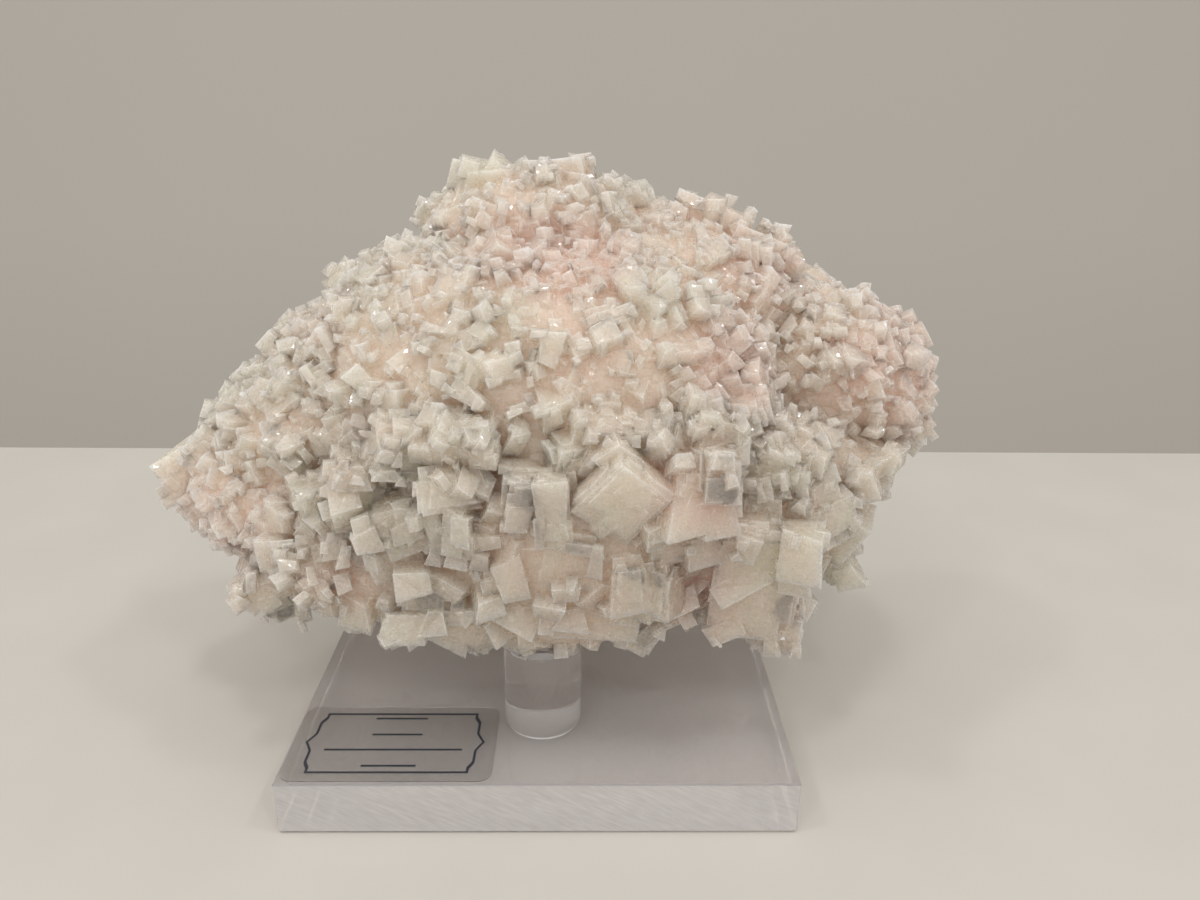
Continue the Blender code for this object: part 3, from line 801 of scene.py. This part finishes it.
def layered_meshes(name, blocks):
    """Blocks as meshes in each of which nothing touches."""
    numbers = layer_numbers(blocks)
    return [block_mesh(name, blocks.part(numbers == number)) for number in range(numbers.max() + 1)]


def without_voids(mesh):
    """Drop what is loose from, or sealed inside, a mesh's largest shell."""
    solid = bmesh.new()
    solid.from_mesh(mesh)
    left = set(solid.verts)
    islands = []
    while left:
        front = [left.pop()]
        island = set(front)
        while front:
            for edge in front.pop().link_edges:
                for other in edge.verts:
                    if other in left:
                        left.discard(other)
                        island.add(other)
                        front.append(other)
        islands.append(island)
    islands.sort(key=len)
    for island in islands[:-1]:
        bmesh.ops.delete(solid, geom=list(island), context="VERTS")
    solid.to_mesh(mesh)
    solid.free()
    return mesh


def paint_growth(mesh):
    """Store how sheltered each vertex is, which sets the painted light between the crystals, and how
    rosy it is, for the material.
    """
    count = len(mesh.vertices)
    places = np.zeros(count * 3)
    mesh.vertices.foreach_get("co", places)
    places = places.reshape(-1, 3) / MM
    coarse = coarseness(*places.T)
    height = height_over_lumps(places)
    # How deep a vertex lies between the crystals; the material paints scattered light there
    depth = 1.0 - blend(-1.0, 1.6 + 3.4 * coarse, height)
    rosy = np.zeros(count)
    for _, middle, reach, strength in ROSY_PLACES:
        apart = np.linalg.norm((places - np.array(middle, float)) / np.array(reach, float), axis=1)
        rosy = np.maximum(rosy, strength * (1.0 - blend(0.35, 1.0, apart)))
    fineness = 1.0 - 0.75 * coarse
    for label, values in (("depth", depth), ("rosy", rosy), ("fineness", fineness)):
        layer = mesh.attributes.new(label, "FLOAT", "POINT")
        layer.data.foreach_set("value", values.astype(np.float32))


# ---------------------------------------------------------------- materials


class Nodes:
    """Short ways to build a material's nodes."""

    def __init__(self, name):
        self.material = bpy.data.materials.new(name)
        self.material.use_nodes = True
        self.tree = self.material.node_tree
        self.shader = self.tree.nodes["Principled BSDF"]

    def feed(self, socket, value):
        """Give an input an output's link, a number, a triple or, for a colour, its three channels."""
        if isinstance(value, bpy.types.NodeSocket):
            self.tree.links.new(value, socket)
        elif socket.type == "RGBA":
            socket.default_value = (*value, 1.0)
        else:
            socket.default_value = value

    def add(self, kind, *inputs, **named):
        """A node with its first inputs and its named inputs given."""
        node = self.tree.nodes.new(kind)
        for socket, value in zip(node.inputs, inputs):
            self.feed(socket, value)
        for key, value in named.items():
            self.feed(node.inputs[key], value)
        return node

    def set(self, **values):
        """Give the shader's own inputs."""
        for key, value in values.items():
            self.feed(self.shader.inputs[key.replace("_", " ")], value)

    def place(self):
        """The object's own coordinates, in metres."""
        return self.add("ShaderNodeTexCoord").outputs["Object"]

    def noise(self, scale, detail=2.0, roughness=0.5, vector=None):
        """A node of noise with so many grains a metre."""
        return self.add(
            "ShaderNodeTexNoise", vector or self.place(), Scale=scale, Detail=detail, Roughness=roughness
        )

    def attribute(self, name):
        """A value stored on the mesh."""
        node = self.add("ShaderNodeAttribute")
        node.attribute_name = name
        return node.outputs["Fac"]

    def remap(self, value, low, high, to_low, to_high):
        """A value moved from one range to another."""
        return self.add("ShaderNodeMapRange", value, low, high, to_low, to_high).outputs["Result"]

    def maths(self, operation, *values):
        """Values, either sockets or numbers, put together."""
        node = self.add("ShaderNodeMath", *values)
        node.operation = operation
        return node.outputs["Value"]

    def vector(self, operation, *values, **named):
        """Vectors, either sockets or triples, put together."""
        node = self.add("ShaderNodeVectorMath", *values)
        node.operation = operation
        for key, value in named.items():
            self.feed(node.inputs[key], value)
        return node.outputs["Value" if operation == "DOT_PRODUCT" else "Vector"]

    def mix(self, share, first, second):
        """Two colours, either sockets or triples, mixed by a share."""
        node = self.add("ShaderNodeMix", share)
        node.data_type = "RGBA"
        for key, colour in (("A", first), ("B", second)):
            self.feed(next(s for s in node.inputs if s.name == key and s.type == "RGBA"), colour)
        return next(s for s in node.outputs if s.type == "RGBA")

    def bump(self, height, distance, strength=1.0):
        """A bump of so many metres."""
        return self.add(
            "ShaderNodeBump", Height=height, Distance=distance, Strength=strength
        ).outputs["Normal"]


def faceted(nodes, place, cell):
    """Square cells, some of them tilted: their height in metres, and a random value for each."""
    scaled = nodes.vector("SCALE", place, Scale=1.0 / cell)
    cells = nodes.add("ShaderNodeTexVoronoi", Vector=scaled, Scale=1.0)
    cells.feature, cells.distance = "F1", "CHEBYCHEV"
    offset = nodes.vector("SUBTRACT", scaled, cells.outputs["Position"])
    tilt = nodes.vector("SUBTRACT", cells.outputs["Color"], (0.5, 0.5, 0.5))
    value = nodes.add("ShaderNodeSeparateColor", cells.outputs["Color"]).outputs["Green"]
    steep = nodes.remap(value, 0.7, 0.9, FACET_EASE, 1.0)
    rise = nodes.maths("MULTIPLY", nodes.vector("DOT_PRODUCT", offset, tilt), cell)
    return nodes.maths("MULTIPLY", rise, steep), value


def salt_colour(nodes, settings):
    """Cream and rose in patches, with painted light between the crystals: a brighter, pinker colour
    standing in for light scattered into the gaps.
    """
    patches = nodes.noise(PATCH_GRAINS, 2.0, 0.6).outputs["Fac"]
    rosy = nodes.maths("ADD", nodes.attribute("rosy"), nodes.remap(patches, 0.35, 0.65, 0.0, 0.5))
    surface = nodes.mix(rosy, settings.pale_colour, settings.rose_colour)
    # Painted light in the gaps: the deeper a vertex, the more of the brighter, pinker gap colour it gets
    depth = nodes.maths("MULTIPLY", nodes.attribute("depth"), PAINTED_GAP_LIGHT_SHARE)
    return nodes.mix(depth, surface, settings.painted_gap_light_colour)


def frosted_rim(nodes, width):
    """1 along a crystal's edges and 0 in the middle of its faces."""
    bevel = nodes.add("ShaderNodeBevel", width)
    bevel.samples = 4
    face = nodes.add("ShaderNodeNewGeometry").outputs["True Normal"]
    return nodes.remap(nodes.vector("DOT_PRODUCT", bevel.outputs["Normal"], face), 0.98, 0.8, 0.0, 1.0)


def halite_material(settings):
    """Milky pink salt: cream and rose in patches, white along its edges, some grains with a glint."""
    nodes = Nodes("milky_halite")
    warp = nodes.noise(WARP_GRAINS, 1.0).outputs["Color"]
    place = nodes.vector("ADD", nodes.place(), nodes.vector("SCALE", warp, Scale=FACET_WARP))
    wide_height, wide_value = faceted(nodes, place, WIDE_FACET)
    fine_height, fine_value = faceted(nodes, place, FINE_FACET)
    fineness = nodes.attribute("fineness")
    rim = nodes.maths("MULTIPLY", frosted_rim(nodes, RIM), nodes.remap(wide_value, 0.0, 1.0, *RIM_SHOW))
    colour = nodes.mix(rim, salt_colour(nodes, settings), settings.frost_colour)
    most, least = settings.clearness, settings.clearness * FINE_CLEAR
    clear = nodes.remap(fineness, 0.25, 0.9, most, least)
    height = nodes.maths("MULTIPLY", nodes.maths("ADD", wide_height, fine_height), fineness)
    nodes.set(
        Base_Color=nodes.vector("SCALE", colour, Scale=nodes.remap(wide_value, 0.0, 1.0, *FACET_SHADE)),
        Transmission_Weight=nodes.maths("MULTIPLY", nodes.maths("SUBTRACT", 1.0, rim), clear),
        Subsurface_Weight=nodes.remap(rim, 0.0, 1.0, 1.0, RIM_MILK),
        Subsurface_Scale=settings.milk_depth,
        Subsurface_Radius=MILK_SPREAD,
        Roughness=nodes.remap(fine_value, 0.3, 0.9, *FACET_ROUGH),
        Normal=nodes.bump(height, 1.0),
        IOR=1.544,
    )
    return nodes.material


def clear_acrylic(name, settings):
    """Polished acrylic, very slightly uneven."""
    nodes = Nodes(name)
    rough = nodes.remap(nodes.noise(60.0).outputs["Fac"], 0.3, 0.7, 0.0, CLEAR_ROUGH)
    nodes.set(
        Base_Color=settings.acrylic_tint,
        Transmission_Weight=settings.rod_clearness,
        Roughness=rough,
        IOR=ACRYLIC_IOR,
    )
    return nodes.material


def sawn_acrylic(name, settings):
    """Acrylic whose upright sides have faint slanting saw marks and a soft gloss."""
    nodes = Nodes(name)
    normal = nodes.add("ShaderNodeNewGeometry").outputs["Normal"]
    upright = nodes.maths("ABSOLUTE", nodes.add("ShaderNodeSeparateXYZ", normal).outputs["Z"])
    edge = nodes.maths("LESS_THAN", upright, 0.5)
    slant = nodes.add(
        "ShaderNodeMapping", nodes.place(), Rotation=(SAWN_SLANT, SAWN_SLANT, 0.0), Scale=(1.0, 1.0, 0.1)
    )
    slant.vector_type = "TEXTURE"
    marks = nodes.noise(SAWN_GRAINS, 3.0, 0.6, slant.outputs["Vector"]).outputs["Fac"]
    top = nodes.maths("MULTIPLY", nodes.maths("SUBTRACT", 1.0, edge), settings.plate_clearness)
    nodes.set(
        Base_Color=settings.acrylic_tint,
        Transmission_Weight=nodes.maths("MAXIMUM", nodes.remap(marks, 0.3, 0.7, *SAWN_CLEAR), top),
        Roughness=nodes.maths("MULTIPLY", nodes.remap(marks, 0.4, 0.75, *SAWN_ROUGH), edge),
        Normal=nodes.bump(nodes.maths("MULTIPLY", marks, edge), SAWN_DEPTH, 0.2),
        IOR=ACRYLIC_IOR,
    )
    return nodes.material


def plain_material(name, colour, roughness, mottle=0.06, grain=400.0):
    """A finish of one colour with a slight mottle and a fine grain."""
    nodes = Nodes(name)
    share = nodes.remap(nodes.noise(grain).outputs["Fac"], 0.3, 0.7, 0.0, 1.0)
    darker = [channel * (1.0 - mottle) for channel in colour]
    nodes.set(
        Base_Color=nodes.mix(share, darker, colour),
        Roughness=nodes.remap(share, 0.0, 1.0, roughness * 0.85, roughness * 1.1),
    )
    return nodes.material


def film_material():
    """Clear film with a very faint haze."""
    nodes = Nodes("label_film")
    rough = nodes.remap(nodes.noise(500.0).outputs["Fac"], 0.3, 0.7, 0.03, 0.1)
    nodes.set(Base_Color=(0.93, 0.92, 0.91), Transmission_Weight=0.94, Roughness=rough, IOR=1.45)
    return nodes.material


# ---------------------------------------------------------------- pieces


def make_mesh(name, verts, faces):
    """A mesh from corners in metres."""
    mesh = bpy.data.meshes.new(name)
    mesh.from_pydata(verts, [], faces)
    return mesh


def put_in_scene(name, data):
    """An object in the scene's own collection."""
    thing = bpy.data.objects.new(name, data)
    bpy.context.scene.collection.objects.link(thing)
    return thing


def dress(mesh, material):
    """Give a mesh its only material."""
    mesh.materials.clear()
    mesh.materials.append(material)


def add_piece(name, mesh, material, slot, *replaced):
    """Put a mesh into the scene as a piece of the object."""
    piece = put_in_scene(name, mesh)
    dress(mesh, material)
    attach(piece, BODY)
    if replaced:
        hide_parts(*replaced)


def placed_blocks(rows):
    """Blocks from rows that end with a middle, edge lengths and a turn in degrees."""
    return Blocks(*zip(*((row[-3], row[-2], turn_matrix(row[-1])) for row in rows)))


class HALITE_OT_crystals(bpy.types.Operator):
    """Grow the specimen's crystals, fused to the lumps that carry them, all in one closed piece"""

    bl_idname = "halite.crystals"
    bl_label = "Crystals"

    def execute(self, context):
        settings = context.scene.halite
        chance = random.Random(GROWTH_SEED)
        for _ in range(LUMP_DRAWS * len(LUMPS)):
            chance.random()
        lumps = [lump_mesh(lump) for lump in LUMPS]
        leading = placed_blocks(LEADING_CRYSTALS)
        grown = Blocks(*zip(*grown_crystals(chance)))
        grown.edges *= 1.0 - FINE_SHRINK * (1.0 - coarseness(*grown.middles.T))[:, None]
        large = leading.joined(grown).joined(placed_blocks(BROW_CRYSTALS)).joined(backing(leading))
        rng = np.random.default_rng(CRUST_SEED)
        steps = face_steps(large, settings.step_count, rng)
        large = large.joined(infill_crystals(large, leading, rng))
        small, medium = settings.small_edge / MM, settings.medium_edge / MM
        crust = crust_crystals(large, leading, small, medium, rng)
        blocks = large.joined(steps).joined(crust)
        mesh = combined(lumps[0], lumps[1:] + layered_meshes("crystals", blocks), "UNION")
        mesh = combined(without_voids(mesh), rod_seat(), "DIFFERENCE")
        triangles = sum(len(face.vertices) - 2 for face in mesh.polygons)
        if triangles >= PIECE_LIMIT:
            raise ValueError(f"the crystals have {triangles} triangles: grow fewer")
        paint_growth(mesh)
        add_piece("halite_crystals", mesh, halite_material(settings), "halite", "halite_cluster")
        return {"FINISHED"}


def dome(gap, last, count):
    """Half the adhesive's outline as (radius, height) pairs from its rim up, with a gap round it."""
    wide = (BEAD_HIGH.x - BEAD_LOW.x) / 2 + gap
    tall = BEAD_HIGH.z - BEAD_LOW.z + gap
    return [(wide * math.cos(t), BEAD_LOW.z + tall * math.sin(t)) for t in np.linspace(0, last, count)]


def rod_seat():
    """Room for the rod's top and the adhesive in the underside of the specimen."""
    radius = ROD_RADIUS + SEAT_GAP
    rod = turned("seat", ((radius, 0.0), (radius, ROD_HIGH.z + SEAT_GAP)), 48)
    bead = dome(SEAT_GAP, 1.45, 7)
    return [rod, turned("socket", [(bead[0][0], ROD_HIGH.z - 1 * MM), *bead], 32)]


def turned(name, profile, sides):
    """A solid turned about the rod's axis from (radius, height) pairs, bottom to top."""
    count = len(profile)
    x, y = ROD_MIDDLE.xy
    angles = [math.tau * side / sides for side in range(sides)]
    verts = [
        (x + radius * math.cos(angle), y + radius * math.sin(angle), height)
        for angle in angles
        for radius, height in profile
    ]
    faces = []
    for side in range(sides):
        here = side * count
        there = (side + 1) % sides * count
        faces += [(here + k, there + k, there + k + 1, here + k + 1) for k in range(count - 1)]
    faces.append([side * count for side in reversed(range(sides))])
    faces.append([side * count + count - 1 for side in range(sides)])
    return make_mesh(name, verts, faces)


def smooth_sides(mesh, degrees):
    """Shade a mesh smooth except at its sharp edges."""
    mesh.polygons.foreach_set("use_smooth", [True] * len(mesh.polygons))
    mesh.set_sharp_from_angle(angle=math.radians(degrees))
    return mesh


def prism(name, outline, low, high, hole=()):
    """A flat plate from an outline of (x, y) pairs, or a ring if it has a hole of as many points."""
    count = len(outline)
    loops = [outline, hole] if hole else [outline]
    verts = [(x, y, z) for loop in loops for z in (low, high) for x, y in loop]
    faces = []
    for k in range(count):
        n = (k + 1) % count
        faces.append((k, n, count + n, count + k))
        if hole:
            faces.append((2 * count + n, 2 * count + k, 3 * count + k, 3 * count + n))
            faces.append((count + k, count + n, 3 * count + n, 3 * count + k))
            faces.append((n, k, 2 * count + k, 2 * count + n))
    if not hole:
        faces += [list(reversed(range(count))), list(range(count, 2 * count))]
    return make_mesh(name, verts, faces)


def rounded_outline(low, high, radius, steps=8):
    """The corners of a rectangle rounded, anticlockwise."""
    points = []
    for x, y, start in (
        (high.x - radius, high.y - radius, 0),
        (low.x + radius, high.y - radius, 90),
        (low.x + radius, low.y + radius, 180),
        (high.x - radius, low.y + radius, 270),
    ):
        for step in range(steps + 1):
            angle = math.radians(start + 90 * step / steps)
            points.append((x + radius * math.cos(angle), y + radius * math.sin(angle)))
    return points


class HALITE_OT_stand(bpy.types.Operator):
    """Finish the acrylic plate and make the rod, its cement and the adhesive"""

    bl_idname = "halite.stand"
    bl_label = "Stand"

    def execute(self, context):
        settings = context.scene.halite_stand
        dress(frame["nodes"]["base_plate"].data, sawn_acrylic("sawn_acrylic", settings))
        low, high, inner = ROD_LOW.z, ROD_HIGH.z, ROD_RADIUS - ROD_CHAMFER
        profile = (
            (inner, low),
            (ROD_RADIUS, low + ROD_CHAMFER),
            (ROD_RADIUS, high - ROD_CHAMFER),
            (inner, high),
        )
        rod = smooth_sides(turned("rod", profile, 128), 30.0)
        add_piece("rod", rod, clear_acrylic("turned_acrylic", settings), "acrylic", "post")

        profile = ((CEMENT_LOW, PLATE_HIGH.z + LIFT), (CEMENT_HIGH, low + CEMENT_DEPTH))
        cement_look = plain_material("cement", (0.96, 0.95, 0.93), 0.5, 0.02)
        add_piece("rod_cement", turned("rod_cement", profile, 96), cement_look, "adhesive")

        bead = smooth_sides(turned("adhesive_dome", dome(0.0, 1.5, 14), 64), 40.0)
        look = clear_acrylic("adhesive", settings)
        add_piece("adhesive_dome", bead, look, "adhesive", "adhesive_bead")
        return {"FINISHED"}


class HALITE_OT_label(bpy.types.Operator):
    """Make the label film with its printed border and ruled lines"""

    bl_idname = "halite.label"
    bl_label = "Label"

    def execute(self, context):
        settings = context.scene.halite_stand
        film_top = PLATE_HIGH.z + FILM_THICK
        ink_top = film_top + INK_THICK
        outline = rounded_outline(FILM_LOW, FILM_HIGH, FILM_CORNER)
        film = prism("label_film", outline, PLATE_HIGH.z + LIFT, film_top)
        add_piece("label_film", film, film_material(), "label_film", "label")

        ink = plain_material("ink", settings.ink_colour, 0.45, 0.2)
        outer, inner = border_outline(0.0), border_outline(settings.border_width / MM)
        border = prism("label_border", outer, film_top, ink_top, inner)
        add_piece("label_border", border, ink, "label_film")
        middle = (FILM_LOW + FILM_HIGH) / 2
        for number, (height, length) in enumerate(RULED_LINES, 1):
            low = middle + Vector((-length / 2 * MM, (height - LINE_HALF) * MM, 0.0))
            high = middle + Vector((length / 2 * MM, (height + LINE_HALF) * MM, 0.0))
            line = prism("line", rounded_outline(low, high, LINE_CORNER, 3), film_top, ink_top)
            add_piece(f"label_line_{number}", line, ink, "label_film")
        return {"FINISHED"}


def border_outline(inset):
    """The label's border drawn in by an inset in millimetres, anticlockwise."""
    side, tall = BORDER_SIDE - inset, BORDER_TOP - inset
    right = [(side + x, y) for x, y in BORDER_POINT]
    right += [(side + x, tall + y) for x, y in BORDER_SHOULDER]
    left = [(-x, y) for x, y in reversed(right)]
    lower_left = [(x, -y) for x, y in reversed(left)][1:]
    lower_right = [(x, -y) for x, y in reversed(right)][:-1]
    middle = (FILM_LOW + FILM_HIGH) / 2
    return [(middle.x + x * MM, middle.y + y * MM) for x, y in right + left + lower_left + lower_right]


# ---------------------------------------------------------------- stage

LENS = 26.89  # mm on a 36 mm sensor
CLIP_START = 5 * MM
CAMERA_PLACE = (0.009017, -0.187509, 0.133717)
CAMERA_DOWN = math.radians(21.264)
CAMERA_RIGHT = math.radians(0.913)
CAMERA_ROLL = math.radians(0.630)
TABLE_BACK = 0.156
TABLE_REACH = 1.5
TABLE_TOP = -0.2 * MM
WALL_PLACE = 0.9
WALL_REACH = 3.0
WALL_HEIGHTS = (-1.0, 2.0)
SOFTBOX = ((-0.2, -0.55, 1.0), (0.0, 0.0, 0.05), 0.9)  # place, target, side
FRONT_FILL = ((-0.3, -1.3, 0.45), (0.0, 0.0, 0.03), 1.0)
PANEL_PLACES = tuple((x, y, 1.25) for y in (-0.95, -0.25) for x in (-0.7, 0.0, 0.7))
PANEL_TARGET = (0.0, 0.0, 0.07)
PANEL_SIZE = 0.12
ROOM_COLOUR = (1.0, 0.97, 0.93, 1.0)


def square(reach, low, high):
    """The corners of a rectangle, anticlockwise."""
    return (-reach, low), (reach, low), (reach, high), (-reach, high)


def stage_plane(name, corners, material):
    """A flat part of the stage."""
    mesh = make_mesh(name, corners, [(0, 1, 2, 3)])
    dress(mesh, material)
    plane = put_in_scene(name, mesh)


def area_light(name, place, target, size, power):
    """A square light that points at a target."""
    light = bpy.data.lights.new(name, "AREA")
    light.shape = "SQUARE"
    light.size = size
    light.energy = power
    lamp = put_in_scene(name, light)
    lamp.location = place
    lamp.rotation_euler = (Vector(target) - Vector(place)).to_track_quat("-Z", "Y").to_euler()


class HALITE_OT_stage(bpy.types.Operator):
    """Make the camera, table, backdrop and lights"""

    bl_idname = "halite.stage"
    bl_label = "Stage"

    def execute(self, context):
        settings = context.scene.halite_stage
        camera = put_in_scene("camera", bpy.data.cameras.new("camera"))
        camera.data.sensor_width = 36.0
        camera.data.lens = LENS
        camera.data.clip_start = CLIP_START
        turn = Matrix.Rotation(-CAMERA_RIGHT, 4, "Z")
        turn = turn @ Matrix.Rotation(math.pi / 2 - CAMERA_DOWN, 4, "X")
        turn = turn @ Matrix.Rotation(CAMERA_ROLL, 4, "Z")
        camera.matrix_world = Matrix.Translation(CAMERA_PLACE) @ turn
        context.scene.camera = camera

        table = [(x, y, TABLE_TOP) for x, y in square(TABLE_REACH, -TABLE_REACH, TABLE_BACK)]
        stage_plane("table", table, plain_material("table", settings.table_colour, 0.5, 0.03, 25.0))
        wall = [(x, WALL_PLACE, z) for x, z in square(WALL_REACH, *WALL_HEIGHTS)]
        stage_plane("backdrop", wall, plain_material("backdrop", settings.wall_colour, 0.9, 0.03, 3.0))

        area_light("softbox", *SOFTBOX, settings.softbox_power)
        area_light("front_fill", *FRONT_FILL, settings.fill_power)
        for number, place in enumerate(PANEL_PLACES, 1):
            area_light(f"panel_{number}", place, PANEL_TARGET, PANEL_SIZE, settings.panel_power)
        world = bpy.data.worlds.new("room")
        context.scene.world = world
        world.use_nodes = True
        sky = world.node_tree.nodes["Background"]
        sky.inputs["Color"].default_value = ROOM_COLOUR
        sky.inputs["Strength"].default_value = settings.room_light
        context.scene.view_settings.view_transform = "Standard"
        return {"FINISHED"}


class HALITE_PT_panel(bpy.types.Panel):
    """Lists the pieces"""

    bl_idname = "HALITE_PT_panel"
    bl_label = "Halite"
    bl_space_type = "VIEW_3D"
    bl_region_type = "UI"
    bl_category = "Halite"

    def draw(self, context):
        for operator in OPERATORS:
            self.layout.operator(operator.bl_idname)


SETTINGS = (
    ("halite", HaliteSettings),
    ("halite_stand", StandSettings),
    ("halite_stage", StageSettings),
)
OPERATORS = (HALITE_OT_stage, HALITE_OT_crystals, HALITE_OT_stand, HALITE_OT_label)


def register():
    """Add the settings, operators and panel to Blender."""
    for name, group in SETTINGS:
        bpy.utils.register_class(group)
        setattr(bpy.types.Scene, name, PointerProperty(type=group))
    for operator in OPERATORS:
        bpy.utils.register_class(operator)
    bpy.utils.register_class(HALITE_PT_panel)


def unregister():
    """Take them away again."""
    bpy.utils.unregister_class(HALITE_PT_panel)
    for operator in reversed(OPERATORS):
        bpy.utils.unregister_class(operator)
    for name, group in reversed(SETTINGS):
        delattr(bpy.types.Scene, name)
        bpy.utils.unregister_class(group)


def main():
    """Build everything."""
    register()
    bpy.ops.halite.stage()
    bpy.ops.halite.crystals()
    bpy.ops.halite.stand()
    bpy.ops.halite.label()


if __name__ == "__main__":
    main()
